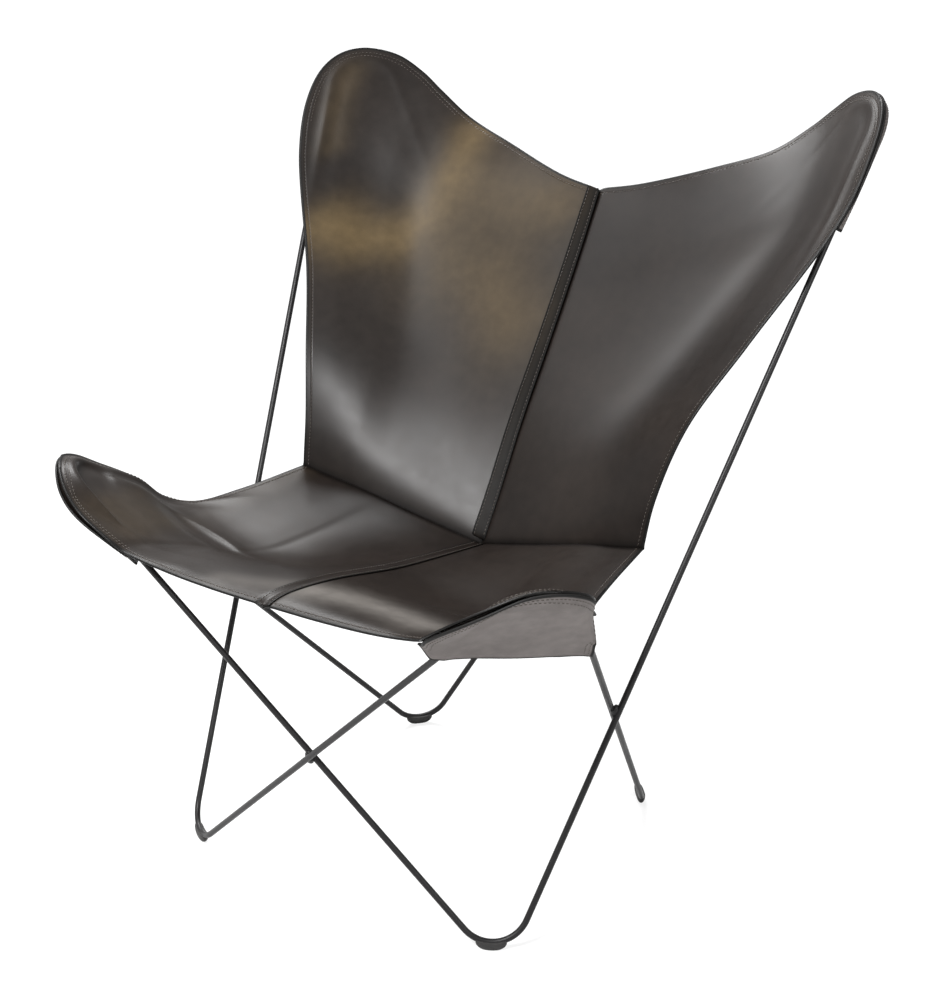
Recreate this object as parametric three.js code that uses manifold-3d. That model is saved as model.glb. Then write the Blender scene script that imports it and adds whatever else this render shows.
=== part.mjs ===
// Butterfly sling chair: a leather sling hung on a frame of bent steel rod.
// Millimetres, +Z up, the sitter faces -Y, and the origin is on the floor in the middle of the feet.
import * as THREE from 'three';
import { mergeVertices } from 'three/addons/utils/BufferGeometryUtils.js';
import Module from 'manifold-3d';

// Frame: the corners are where the straight rods would meet if they weren't bent round
const rodDiameter = 7.5;
const frontPeakHalfSpan = 377;
const frontPeakReach = 309;
const frontPeakHeight = 553;
const backPeakHalfSpan = 419;
const backPeakReach = 398;
const backPeakHeight = 1016;
const frontFootHalfSpan = 238.5;
const footReach = 209;
const peakBendRadius = 45;
const frontFootBendRadius = 43;
const backFootBendRadius = 37.5;
const weldRoot = 1.2;

// Glides under the floor bends
const glideThickness = 6.25;
const glideLength = 30;
const glideWidth = 13;
const glideLip = 1.4;
const glideRounding = 3;
const glideChamfer = 1;

// Weld beads where the two loops cross
const beadHalfLength = 10;
const beadHalfDepth = 5.6;
const beadCutterLength = 40;

// Sling
const leatherThickness = 3;
const pocketThickness = 2.4;
const bandThickness = 1.6;
const backBandWidth = 15;
const seatBandWidth = 20;
const seatSag = 12;
const backSag = 14;
const frontMouthDepthInner = 78;
const frontMouthDepthOuter = 90;
const backMouthDepthInner = 48;
const backMouthDepthOuter = 105;

// Clearances
const meshGap = 0.3;
const rodPlay = 1.6;
const flatBesideRod = 9;
const pocketEdgeGap = 0.9;
const pocketMouthInset = 8;
const pocketLeastClimb = 11.25;
const panelLiftReach = 270;
const bandPlay = 0.8;

// Counts
const rodSides = 12;
const bendSteps = 12;
const beadSides = 14;
const cutterSides = 24;
const panelSteps = 14;
const pocketSteps = 22;
const pocketRows = 6;
const settlePasses = 12;
const rimCrowding = 1.5;
const curveDivisions = 400;
const roundingSteps = 5;

// Sling outlines. Rim points are shares of the peak corner's half span, reach and height.
// Tip points are out, across and lift shares of the peak's bend radius, in the peak's own plane.
const backTopShares = [[0, 0.905, 0.745], [0.14, 0.92, 0.756], [0.372, 0.978, 0.784], [0.545, 1.003, 0.81]];
const backTipShares = [
  [-0.12, 2.34, 0.1], [0.53, 1.82, 0], [1.09, 1.1, 0], [1.34, 0.14, 0],
  [1.22, -0.6, 0], [0.74, -1.25, 0], [-0.22, -1.78, 0], [-1.8, -2.12, 0],
];
const backSideShares = [
  [0.778, 0.4, 0.635], [0.677, 0.259, 0.546], [0.626, 0.183, 0.464], [0.611, 0.143, 0.4085],
];
const backSeamShares = [[0, 0.771, 0.662], [0, 0.616, 0.572], [0, 0.457, 0.483], [0, 0.334, 0.4045]];
const junctionShares = [0, 0.239, 0.3435];
const frontEdgeShares = [
  [0, -1.026, 0.75], [0.21, -1.012, 0.747], [0.4, -1.005, 0.752], [0.55, -1.02, 0.772],
];
const frontTipShares = [
  [-0.71, -2.4, -0.22], [0.27, -1.93, -0.36], [0.9, -1.28, -0.34], [1.32, -0.4, -0.2],
  [1.3, 0.38, -0.14], [0.98, 1.02, -0.08], [0.38, 1.4, 0.07], [-0.72, 1.62, 0.46],
];
const frontSideShares = [[0.84, -0.47, 0.762], [0.776, -0.37, 0.74], [0.728, -0.155, 0.74]];
const seatSeamShares = [[0, -0.654, 0.732], [0, -0.236, 0.685]];
const backSagShares = [0, 0.8, -0.6];
const seatSagShares = [0, 0, -1];
const sitterSideShares = [0, -0.5, 1];

// Fits
const rodRadius = rodDiameter / 2;
const restHeight = glideThickness + rodRadius;
const crossingDistance = rodDiameter + weldRoot;

// Finishes
const steelFinish = { color: '#1d1c1d', roughness: 0.42, metalness: 0.35 };
const rubberFinish = { color: '#151414', roughness: 0.7, metalness: 0 };
const leatherFinish = { color: '#3d3633', roughness: 0.48, metalness: 0 };
const pocketFinish = { color: '#4a4442', roughness: 0.6, metalness: 0 };

const wasm = await Module();
wasm.setup();

const chair = new THREE.Group();

function addMesh(name, geometry, finish) {
  const mesh = new THREE.Mesh(geometry, new THREE.MeshStandardMaterial(finish));
  mesh.name = name;
  chair.add(mesh);
}

// Manifold solids and back again

function toSolid(geometry) {
  const bare = geometry.clone();
  bare.deleteAttribute('normal');
  bare.deleteAttribute('uv');
  const merged = mergeVertices(bare, meshGap / 1000);
  const vertProperties = new Float32Array(merged.attributes.position.array);
  const triVerts = new Uint32Array(merged.index.array);
  return new wasm.Manifold(new wasm.Mesh({ numProp: 3, vertProperties, triVerts }));
}

function fromSolid(solid) {
  const result = solid.getMesh();
  const geometry = new THREE.BufferGeometry();
  geometry.setAttribute('position', new THREE.BufferAttribute(result.vertProperties, 3));
  geometry.setIndex(new THREE.BufferAttribute(result.triVerts, 1));
  geometry.computeVertexNormals();
  return geometry;
}

// A straight rod, a bend and a straight rod: one ring at each end and an even row round the bend

class BentRod extends THREE.Curve {
  constructor(start, corner, end, radius) {
    super();
    const towardStart = start.clone().sub(corner).normalize();
    const towardEnd = end.clone().sub(corner).normalize();
    const halfAngle = towardStart.angleTo(towardEnd) / 2;
    const inward = towardStart.clone().add(towardEnd).normalize();
    const centre = corner.clone().addScaledVector(inward, radius / Math.sin(halfAngle));
    const tangentLength = radius / Math.tan(halfAngle);
    const bendStart = corner.clone().addScaledVector(towardStart, tangentLength).sub(centre);
    const axis = new THREE.Vector3().crossVectors(towardStart, towardEnd).negate().normalize();
    const turn = Math.PI - 2 * halfAngle;
    this.points = [start.clone()];
    this.tangents = [towardStart.clone().negate()];
    for (let step = 0; step <= bendSteps; step += 1) {
      const angle = turn * step / bendSteps;
      this.points.push(bendStart.clone().applyAxisAngle(axis, angle).add(centre));
      this.tangents.push(towardStart.clone().negate().applyAxisAngle(axis, angle));
    }
    this.points.push(end.clone());
    this.tangents.push(towardEnd.clone());
  }

  getPoint(share) {
    const place = share * (this.points.length - 1);
    const index = Math.min(Math.floor(place), this.points.length - 2);
    return this.points[index].clone().lerp(this.points[index + 1], place - index);
  }

  getPointAt(share) {
    return this.getPoint(share);
  }

  getTangentAt(share) {
    return this.tangents[Math.round(share * (this.points.length - 1))].clone();
  }

  lowest() {
    return this.points.reduce((low, point) => (point.z < low.z ? point : low));
  }
}

function circleShape(radius, sides) {
  const points = [];
  for (let side = 0; side < sides; side += 1) {
    const angle = 2 * Math.PI * side / sides;
    points.push(new THREE.Vector2(radius * Math.cos(angle), radius * Math.sin(angle)));
  }
  return new THREE.Shape(points);
}

function rodGeometry(path, radius, sides) {
  const steps = path.points.length - 1;
  return new THREE.ExtrudeGeometry(circleShape(radius, sides), { steps, extrudePath: path });
}

// The frame is two loops of rod, each over one front peak and the opposite back peak.
// They stand side by side by half a crossing at the middle welds, and the back feet
// are spaced so that the rods also pass side by side at the side welds.

function footCorner(x, y, neighbourOne, neighbourTwo, radius) {
  const corner = new THREE.Vector3(x, y, 0);
  for (let pass = 0; pass < settlePasses; pass += 1) {
    const bend = new BentRod(neighbourOne, corner, neighbourTwo, radius);
    corner.z += restHeight - bend.lowest().z;
  }
  return corner;
}

function lineCrossing(fromOne, toOne, fromTwo, toTwo) {
  const one = toOne.clone().sub(fromOne);
  const two = toTwo.clone().sub(fromTwo);
  const normal = new THREE.Vector3().crossVectors(one, two).normalize();
  const between = fromTwo.clone().sub(fromOne);
  const shareOne = between.clone().cross(two).dot(normal) / one.clone().cross(two).dot(normal);
  const shareTwo = between.clone().cross(one).dot(normal) / one.clone().cross(two).dot(normal);
  const onOne = fromOne.clone().addScaledVector(one, shareOne);
  const onTwo = fromTwo.clone().addScaledVector(two, shareTwo);
  return { onOne, onTwo, normal, shareOne, one, two };
}

const frontSlope = new THREE.Vector3(0, frontPeakHeight, frontPeakReach - footReach).normalize();
const stagger = crossingDistance / 2 / frontSlope.y;

function loopPeaks(hand) {
  const shift = hand * stagger;
  const front = new THREE.Vector3(-hand * frontPeakHalfSpan, -frontPeakReach + shift, frontPeakHeight);
  const back = new THREE.Vector3(hand * backPeakHalfSpan, backPeakReach + shift, backPeakHeight);
  const x = hand * frontFootHalfSpan;
  const frontFoot = footCorner(x, -footReach + shift, front, back, frontFootBendRadius);
  return { hand, front, back, frontFoot };
}

const loopOne = loopPeaks(1);
const loopTwo = loopPeaks(-1);

function setBackFoot(loop, other) {
  const side = -loop.hand;
  const y = footReach + loop.hand * stagger;
  let halfSpan = frontFootHalfSpan;
  for (let pass = 0; pass < settlePasses; pass += 1) {
    const corner = footCorner(side * halfSpan, y, loop.back, loop.front, backFootBendRadius);
    const cross = lineCrossing(loop.front, corner, other.back, other.frontFoot);
    const outward = cross.normal.x * side > 0 ? cross.normal : cross.normal.clone().negate();
    const distance = cross.onTwo.clone().sub(cross.onOne).dot(outward);
    halfSpan += (distance - crossingDistance) / (Math.abs(outward.x) * cross.shareOne);
    loop.backFoot = corner;
  }
}

setBackFoot(loopOne, loopTwo);
setBackFoot(loopTwo, loopOne);

const crossings = {
  front: lineCrossing(loopOne.front, loopOne.frontFoot, loopTwo.front, loopTwo.frontFoot),
  back: lineCrossing(loopOne.back, loopOne.backFoot, loopTwo.back, loopTwo.backFoot),
  left: lineCrossing(loopOne.front, loopOne.backFoot, loopTwo.back, loopTwo.frontFoot),
  right: lineCrossing(loopOne.back, loopOne.frontFoot, loopTwo.front, loopTwo.backFoot),
};

function bentRod(start, corner, end, radius) {
  const from = start.clone().addScaledVector(corner.clone().sub(start).normalize(), meshGap / 2);
  const to = end.clone().addScaledVector(corner.clone().sub(end).normalize(), meshGap / 2);
  return new BentRod(from, corner, to, radius);
}

const { front: frontWeld, back: backWeld, left: leftWeld, right: rightWeld } = crossings;
const rods = {
  front_peak_left: bentRod(leftWeld.onOne, loopOne.front, frontWeld.onOne, peakBendRadius),
  front_foot_right: bentRod(frontWeld.onOne, loopOne.frontFoot, rightWeld.onOne, frontFootBendRadius),
  back_peak_right: bentRod(rightWeld.onOne, loopOne.back, backWeld.onOne, peakBendRadius),
  back_foot_left: bentRod(backWeld.onOne, loopOne.backFoot, leftWeld.onOne, backFootBendRadius),
  front_peak_right: bentRod(rightWeld.onTwo, loopTwo.front, frontWeld.onTwo, peakBendRadius),
  front_foot_left: bentRod(frontWeld.onTwo, loopTwo.frontFoot, leftWeld.onTwo, frontFootBendRadius),
  back_peak_left: bentRod(leftWeld.onTwo, loopTwo.back, backWeld.onTwo, peakBendRadius),
  back_foot_right: bentRod(backWeld.onTwo, loopTwo.backFoot, rightWeld.onTwo, backFootBendRadius),
};

for (const [place, path] of Object.entries(rods)) {
  addMesh(`rod_${place}`, rodGeometry(path, rodRadius, rodSides), steelFinish);
}

// Weld beads: a flattened ball between the crossing rods, hollowed where they pass

function rodCutter(point, direction) {
  const radius = rodRadius + meshGap;
  const cutter = new THREE.CylinderGeometry(radius, radius, beadCutterLength, cutterSides);
  cutter.applyQuaternion(new THREE.Quaternion().setFromUnitVectors(new THREE.Vector3(0, 1, 0), direction));
  cutter.translate(point.x, point.y, point.z);
  return toSolid(cutter);
}

function addBead(name, crossing) {
  const ball = new THREE.SphereGeometry(1, beadSides, beadSides);
  ball.scale(beadHalfLength, beadHalfLength, beadHalfDepth);
  const upward = new THREE.Vector3(0, 0, 1);
  ball.applyQuaternion(new THREE.Quaternion().setFromUnitVectors(upward, crossing.normal));
  const middle = crossing.onOne.clone().lerp(crossing.onTwo, 0.5);
  ball.translate(middle.x, middle.y, middle.z);
  const bead = toSolid(ball)
    .subtract(rodCutter(crossing.onOne, crossing.one.clone().normalize()))
    .subtract(rodCutter(crossing.onTwo, crossing.two.clone().normalize()));
  addMesh(name, fromSolid(bead), steelFinish);
}

for (const [place, crossing] of Object.entries(crossings)) {
  addBead(`weld_${place}`, crossing);
}

// Glides: a rounded block under the lowest stretch of each foot, channelled for the rod

function glideShape() {
  const halfWidth = glideWidth / 2;
  const top = restHeight + glideLip;
  const shape = new THREE.Shape();
  shape.moveTo(-halfWidth + glideChamfer, 0);
  shape.lineTo(halfWidth - glideChamfer, 0);
  shape.lineTo(halfWidth, glideChamfer);
  shape.lineTo(halfWidth, top - glideRounding);
  shape.absarc(halfWidth - glideRounding, top - glideRounding, glideRounding, 0, Math.PI / 2, false);
  shape.lineTo(-halfWidth + glideRounding, top);
  shape.absarc(-halfWidth + glideRounding, top - glideRounding, glideRounding, Math.PI / 2, Math.PI, false);
  shape.closePath();
  return shape;
}

function addGlide(name, path) {
  const low = path.lowest();
  const along = path.tangents[path.points.indexOf(low)].clone().setZ(0).normalize();
  const sizes = { depth: glideLength, bevelEnabled: false, curveSegments: roundingSteps };
  const block = new THREE.ExtrudeGeometry(glideShape(), sizes);
  block.translate(0, 0, -glideLength / 2);
  const upward = new THREE.Vector3(0, 0, 1);
  const across = new THREE.Vector3().crossVectors(upward, along);
  block.applyMatrix4(new THREE.Matrix4().makeBasis(across, upward, along));
  block.translate(low.x, low.y, 0);
  const channel = toSolid(rodGeometry(path, rodRadius + meshGap, cutterSides));
  addMesh(name, fromSolid(toSolid(block).subtract(channel)), rubberFinish);
}

for (const place of ['front_foot_left', 'front_foot_right', 'back_foot_left', 'back_foot_right']) {
  addGlide(`glide_${place}`, rods[place]);
}

// Each peak has axes of its own: out past the bend, across the two legs and up on the sitter's side

function peakAxes(peak, frontFoot, backFoot) {
  const towardFront = frontFoot.clone().sub(peak).normalize();
  const towardBack = backFoot.clone().sub(peak).normalize();
  const halfAngle = towardFront.angleTo(towardBack) / 2;
  const out = towardFront.clone().add(towardBack).normalize().negate();
  const across = towardBack.clone().sub(towardFront).normalize();
  const up = new THREE.Vector3().crossVectors(out, across);
  if (up.z < 0) {
    up.negate();
  }
  const centre = peak.clone().addScaledVector(out, -peakBendRadius / Math.sin(halfAngle));
  return { centre, out, across, up, halfAngle };
}

function toPeak(axes, point) {
  const offset = point.clone().sub(axes.centre);
  return { out: offset.dot(axes.out), across: offset.dot(axes.across), up: offset.dot(axes.up) };
}

function fromPeak(axes, out, across, up) {
  return axes.centre.clone()
    .addScaledVector(axes.out, out)
    .addScaledVector(axes.across, across)
    .addScaledVector(axes.up, up);
}

function distanceBeyondRod(axes, out, across) {
  const sine = Math.sin(axes.halfAngle);
  const cosine = Math.cos(axes.halfAngle);
  const besideBend = out * cosine - Math.abs(across) * sine > 0;
  return (besideBend ? Math.hypot(out, across) : out * sine + Math.abs(across) * cosine) - peakBendRadius;
}

const smooth = (value) => THREE.MathUtils.smoothstep(value, 0, 1);
const panelLift = rodRadius + rodPlay + leatherThickness / 2;
const pocketLift = rodRadius + rodPlay + pocketThickness / 2;

function leastLift(axes, out, across) {
  const beyond = distanceBeyondRod(axes, out, across) - flatBesideRod;
  return panelLift - Math.max(beyond, 0);
}

// Rims run from the middle of the chair round the tip to the side junction

function slingRim(side, half) {
  const axes = half.axes;
  const placed = ([x, y, z]) => new THREE.Vector3(side * x * half.span, y * half.reach, z * half.height);
  const tip = half.tipShares.map(([outShare, acrossShare, liftShare]) => {
    const out = outShare * peakBendRadius;
    const across = acrossShare * peakBendRadius;
    const up = panelLift + liftShare * peakBendRadius;
    return fromPeak(axes, out, across, up);
  });
  const start = half.startShares.map(placed);
  const points = [...start, ...tip, ...half.endShares.map(placed), half.corner.clone()];
  const curve = new THREE.CatmullRomCurve3(points, false, 'centripetal');
  curve.arcLengthDivisions = curveDivisions;
  const lengths = curve.getLengths(curveDivisions);
  const tipPlace = (start.length + half.tipIndex) / (points.length - 1);
  const tipShare = lengths[Math.round(curveDivisions * tipPlace)] / lengths[curveDivisions];
  return { curve, tipShare };
}

function openCurve(points) {
  const curve = new THREE.CatmullRomCurve3(points, false, 'centripetal');
  curve.arcLengthDivisions = curveDivisions;
  return curve;
}

// A panel is a Coons patch between the rim, the centre seam and the cross seam,
// sagging in the middle and lifted wherever it would cut into the rod

function panelPoint(half, toSeam, toCross) {
  const { rim, seam, cross } = half;
  const alongRim = (share) => rim.curve.getPointAt(rim.tipShare * (1 - share));
  const alongSide = (share) => rim.curve.getPointAt(rim.tipShare + (1 - rim.tipShare) * share);
  const alongSeam = (share) => seam.getPointAt(share);
  const alongCross = (share) => cross.getPointAt(share);
  const point = alongRim(toSeam).multiplyScalar(1 - toCross)
    .addScaledVector(alongCross(toSeam), toCross)
    .addScaledVector(alongSide(toCross), 1 - toSeam)
    .addScaledVector(alongSeam(toCross), toSeam);
  point.addScaledVector(alongRim(0), -(1 - toSeam) * (1 - toCross));
  point.addScaledVector(alongRim(1), -toSeam * (1 - toCross));
  point.addScaledVector(alongSide(1), -(1 - toSeam) * toCross);
  point.addScaledVector(alongSeam(1), -toSeam * toCross);
  const bow = Math.sin(Math.PI * toSeam) * Math.sin(Math.PI * toCross);
  point.addScaledVector(half.sagDirection, half.sag * bow);
  const place = toPeak(half.axes, point);
  const least = leastLift(half.axes, place.out, place.across);
  const onRim = toSeam === 0 || toCross === 0;
  if (!onRim && place.up < least && place.out > -panelLiftReach) {
    point.addScaledVector(half.axes.up, least - place.up);
  }
  return point;
}

function panelGrid(half) {
  const grid = [];
  for (let row = 0; row <= panelSteps; row += 1) {
    const points = [];
    for (let column = 0; column <= panelSteps; column += 1) {
      points.push(panelPoint(half, (column / panelSteps) ** rimCrowding, (row / panelSteps) ** rimCrowding));
    }
    grid.push(points);
  }
  return grid;
}

function gridNormals(grid, upward) {
  const last = grid.length - 1;
  const lastColumn = grid[0].length - 1;
  return grid.map((points, row) => points.map((point, column) => {
    const down = grid[Math.min(row + 1, last)][column].clone().sub(grid[Math.max(row - 1, 0)][column]);
    const along = points[Math.min(column + 1, lastColumn)].clone().sub(points[Math.max(column - 1, 0)]);
    const normal = new THREE.Vector3().crossVectors(along, down);
    if (row === 0 && column === 0) {
      const inner = grid[1][1];
      const one = grid[0][1].clone().sub(inner);
      const two = grid[1][0].clone().sub(inner);
      normal.crossVectors(one, two);
    }
    normal.normalize();
    if (normal.dot(upward) < 0) {
      normal.negate();
    }
    return normal;
  }));
}

// A closed solid between two matching grids

function solidBetween(top, bottom) {
  const rows = top.length;
  const columns = top[0].length;
  const positions = [];
  for (const grid of [top, bottom]) {
    for (const points of grid) {
      for (const point of points) {
        positions.push(point.x, point.y, point.z);
      }
    }
  }
  const at = (layer, row, column) => (layer * rows + row) * columns + column;
  const index = [];
  const quad = (a, b, c, d) => index.push(a, b, c, a, c, d);
  for (let row = 0; row < rows - 1; row += 1) {
    for (let column = 0; column < columns - 1; column += 1) {
      quad(at(0, row, column), at(0, row, column + 1), at(0, row + 1, column + 1), at(0, row + 1, column));
      quad(at(1, row, column), at(1, row + 1, column), at(1, row + 1, column + 1), at(1, row, column + 1));
    }
  }
  const lastRow = rows - 1;
  const lastColumn = columns - 1;
  for (let column = 0; column < lastColumn; column += 1) {
    const next = column + 1;
    quad(at(0, 0, next), at(0, 0, column), at(1, 0, column), at(1, 0, next));
    quad(at(0, lastRow, column), at(0, lastRow, next), at(1, lastRow, next), at(1, lastRow, column));
  }
  for (let row = 0; row < lastRow; row += 1) {
    const next = row + 1;
    quad(at(0, row, 0), at(0, next, 0), at(1, next, 0), at(1, row, 0));
    quad(at(0, next, lastColumn), at(0, row, lastColumn), at(1, row, lastColumn), at(1, next, lastColumn));
  }
  const geometry = new THREE.BufferGeometry();
  geometry.setAttribute('position', new THREE.Float32BufferAttribute(positions, 3));
  geometry.setIndex(index);
  if (signedVolume(geometry) < 0) {
    for (let corner = 0; corner < index.length; corner += 3) {
      [index[corner + 1], index[corner + 2]] = [index[corner + 2], index[corner + 1]];
    }
    geometry.setIndex(index);
  }
  geometry.computeVertexNormals();
  return geometry;
}

function signedVolume(geometry) {
  const position = geometry.attributes.position;
  const index = geometry.index;
  const corners = [new THREE.Vector3(), new THREE.Vector3(), new THREE.Vector3()];
  let volume = 0;
  for (let corner = 0; corner < index.count; corner += 3) {
    corners.forEach((point, number) => point.fromBufferAttribute(position, index.getX(corner + number)));
    volume += corners[0].dot(corners[1].clone().cross(corners[2])) / 6;
  }
  return volume;
}

// The two panels of one side, mitred against each other along the cross seam

const junction = new THREE.Vector3(0, junctionShares[1] * backPeakReach, junctionShares[2] * backPeakHeight);

function slingSide(side) {
  const [backLoop, frontLoop] = side > 0 ? [loopOne, loopTwo] : [loopTwo, loopOne];
  const lastSide = backSideShares[backSideShares.length - 1];
  const corner = new THREE.Vector3(
    side * lastSide[0] * backPeakHalfSpan,
    lastSide[1] * backPeakReach,
    lastSide[2] * backPeakHeight,
  );
  const back = {
    axes: peakAxes(backLoop.back, backLoop.frontFoot, backLoop.backFoot),
    span: backPeakHalfSpan,
    reach: backPeakReach,
    height: backPeakHeight,
    startShares: backTopShares,
    tipShares: backTipShares,
    tipIndex: 3,
    endShares: backSideShares.slice(0, -1),
    corner,
    sag: backSag,
    sagDirection: new THREE.Vector3(...backSagShares),
    mouthDepthInner: backMouthDepthInner,
    mouthDepthOuter: backMouthDepthOuter,
  };
  const front = {
    axes: peakAxes(frontLoop.front, frontLoop.frontFoot, frontLoop.backFoot),
    span: frontPeakHalfSpan,
    reach: frontPeakReach,
    height: frontPeakHeight,
    startShares: frontEdgeShares,
    tipShares: frontTipShares,
    tipIndex: 4,
    endShares: frontSideShares,
    corner,
    sag: seatSag,
    sagDirection: new THREE.Vector3(...seatSagShares),
    mouthDepthInner: frontMouthDepthInner,
    mouthDepthOuter: frontMouthDepthOuter,
  };
  const seamPoint = (half) => ([, y, z]) => new THREE.Vector3(0, y * half.reach, z * half.height);
  back.seam = openCurve([backTopShares[0], ...backSeamShares].map(seamPoint(back)).concat([junction]));
  front.seam = openCurve([frontEdgeShares[0], ...seatSeamShares].map(seamPoint(front)).concat([junction]));
  const cross = openCurve([corner, corner.clone().lerp(junction, 0.5), junction]);
  for (const half of [back, front]) {
    half.cross = cross;
    half.rim = slingRim(side, half);
    half.grid = panelGrid(half);
    half.normals = gridNormals(half.grid, new THREE.Vector3(...sitterSideShares));
  }
  return { side, back, front };
}

function panelSolid(side, half, other) {
  const last = panelSteps;
  const layers = [1, -1].map((face) => half.grid.map((points, row) => points.map((point, column) => {
    const normal = half.normals[row][column];
    const moved = point.clone();
    if (row === last) {
      const mitre = normal.clone().add(other.normals[row][column]).normalize();
      const before = half.grid[row][Math.max(column - 1, 0)];
      const along = half.grid[row][Math.min(column + 1, last)].clone().sub(before);
      const inward = new THREE.Vector3().crossVectors(along, mitre).normalize();
      if (inward.dot(half.grid[row - 1][column].clone().sub(point)) < 0) {
        inward.negate();
      }
      moved.addScaledVector(inward, meshGap / 2);
      moved.addScaledVector(mitre, face * leatherThickness / 2 / mitre.dot(normal));
    } else {
      moved.addScaledVector(normal, face * leatherThickness / 2);
    }
    if (column === last) {
      moved.x = side * meshGap / 2;
    }
    return moved;
  })));
  return solidBetween(layers[0], layers[1]);
}

function rimShareAt(half, direction, depth) {
  const steps = panelSteps * panelSteps;
  let share = half.rim.tipShare;
  while (toPeak(half.axes, half.rim.curve.getPointAt(share)).out > -depth) {
    share += direction / steps;
  }
  return share;
}

// A pocket is the under layer of a tip: it meets the panel at the rim and passes under the rod

function pocketSolid(half) {
  const { axes, rim } = half;
  const from = rimShareAt(half, -1, half.mouthDepthInner);
  const to = rimShareAt(half, 1, half.mouthDepthOuter);
  const edge = [];
  for (let step = 0; step <= pocketSteps; step += 1) {
    edge.push(toPeak(axes, rim.curve.getPointAt(THREE.MathUtils.lerp(from, to, step / pocketSteps))));
  }
  const first = edge[0];
  const last = edge[pocketSteps];
  const rowsOf = (face) => edge.map((place, step) => {
    const share = step / pocketSteps;
    const mouthOut = THREE.MathUtils.lerp(first.out, last.out, share);
    const inset = Math.sign(first.across) * pocketMouthInset * (1 - 2 * share);
    const mouthAcross = THREE.MathUtils.lerp(first.across, last.across, share) - inset;
    const edgeUp = place.up - leatherThickness / 2 - pocketEdgeGap - pocketThickness / 2;
    const edgeBeyond = Math.max(distanceBeyondRod(axes, place.out, place.across), pocketLeastClimb);
    const points = [];
    for (let row = 0; row <= pocketRows; row += 1) {
      const inward = (row / pocketRows) ** rimCrowding;
      const out = THREE.MathUtils.lerp(place.out, mouthOut, inward);
      const across = THREE.MathUtils.lerp(place.across, mouthAcross, inward);
      const beyond = distanceBeyondRod(axes, out, across);
      const climb = smooth((beyond - rodDiameter) / (edgeBeyond - rodDiameter));
      const up = THREE.MathUtils.lerp(-pocketLift, edgeUp, climb);
      points.push(fromPeak(axes, out, across, up + face * pocketThickness / 2));
    }
    return points;
  });
  return solidBetween(rowsOf(1), rowsOf(-1));
}

const sides = { right: slingSide(1), left: slingSide(-1) };

for (const [place, { side, back, front }] of Object.entries(sides)) {
  addMesh(`sling_back_${place}`, panelSolid(side, back, front), leatherFinish);
  addMesh(`sling_seat_${place}`, panelSolid(side, front, back), leatherFinish);
  addMesh(`pocket_back_${place}`, pocketSolid(back), pocketFinish);
  addMesh(`pocket_front_${place}`, pocketSolid(front), pocketFinish);
}

// Seam bands lie on the sitter's side along the centre seam

function bandSolid(halves, leftWidth, rightWidth) {
  const lift = leatherThickness / 2 + bandPlay + bandThickness / 2;
  const rowOf = (row, face) => {
    const height = lift + face * bandThickness / 2;
    const columns = [];
    const place = (half, width) => {
      const seamPoint = half.grid[row][panelSteps];
      const inner = half.grid[row][panelSteps - 1].clone().sub(seamPoint).normalize();
      const normal = half.normals[row][panelSteps - 1];
      return seamPoint.clone().addScaledVector(inner, width).addScaledVector(normal, height);
    };
    columns.push(place(halves.left, leftWidth));
    const seamPoint = halves.right.grid[row][panelSteps];
    const normal = halves.right.normals[row][panelSteps].clone().setX(0).normalize();
    const lean = normal.dot(halves.right.normals[row][panelSteps - 1]);
    const middle = seamPoint.clone().addScaledVector(normal, height / lean);
    if (leftWidth > 0 && rightWidth > 0) {
      columns.push(middle);
    }
    columns.push(rightWidth > 0 ? place(halves.right, rightWidth) : middle);
    return columns;
  };
  const layerOf = (face) => {
    const rows = [];
    for (let row = 0; row < panelSteps; row += 1) {
      rows.push(rowOf(row, face));
    }
    return rows;
  };
  return solidBetween(layerOf(1), layerOf(-1));
}

const backHalves = { left: sides.left.back, right: sides.right.back };
const seatHalves = { left: sides.left.front, right: sides.right.front };
addMesh('band_back_seam', bandSolid(backHalves, backBandWidth, 0), leatherFinish);
addMesh('band_seat_seam', bandSolid(seatHalves, seatBandWidth / 2, seatBandWidth / 2), leatherFinish);

export default chair;
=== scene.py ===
import math

import bpy
import numpy as np
from mathutils import Matrix


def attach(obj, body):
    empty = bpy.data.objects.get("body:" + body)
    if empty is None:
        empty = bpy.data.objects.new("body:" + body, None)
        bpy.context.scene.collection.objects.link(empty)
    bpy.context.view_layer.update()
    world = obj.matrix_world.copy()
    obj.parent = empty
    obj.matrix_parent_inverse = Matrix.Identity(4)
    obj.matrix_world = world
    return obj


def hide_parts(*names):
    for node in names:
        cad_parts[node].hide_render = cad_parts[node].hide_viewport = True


# Butterfly sling chair: a dark leather sling hung by four corner pockets on a frame of bent black rod.
# The frame's own axes: the sitter faces -Y, +Z is up, and the origin is on the floor between the feet.

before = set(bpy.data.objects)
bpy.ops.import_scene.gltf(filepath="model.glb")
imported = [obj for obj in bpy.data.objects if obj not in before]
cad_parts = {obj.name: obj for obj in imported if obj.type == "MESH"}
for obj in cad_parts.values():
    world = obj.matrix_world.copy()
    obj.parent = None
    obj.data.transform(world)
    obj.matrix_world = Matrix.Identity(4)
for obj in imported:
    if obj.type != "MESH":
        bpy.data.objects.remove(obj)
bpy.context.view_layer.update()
mm = 0.001
print("frame loaded")


# camera at the photograph's angle

cameraView = {
    "place": (1.2472, -1.6873, 1.2247),  # metres
    "yaw": 35.329,  # degrees left of +Y
    "down": 20.552,
    "roll": -0.262,
    "lens": 67.02,
    "sensorHeight": 36.0,
}


def placedAt(right, up, back, place):
    # the matrix whose columns are an object's own axes and its place
    basis = np.eye(4)
    basis[:3] = np.stack([right, up, back, place], -1)
    return Matrix(basis.tolist())


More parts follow.
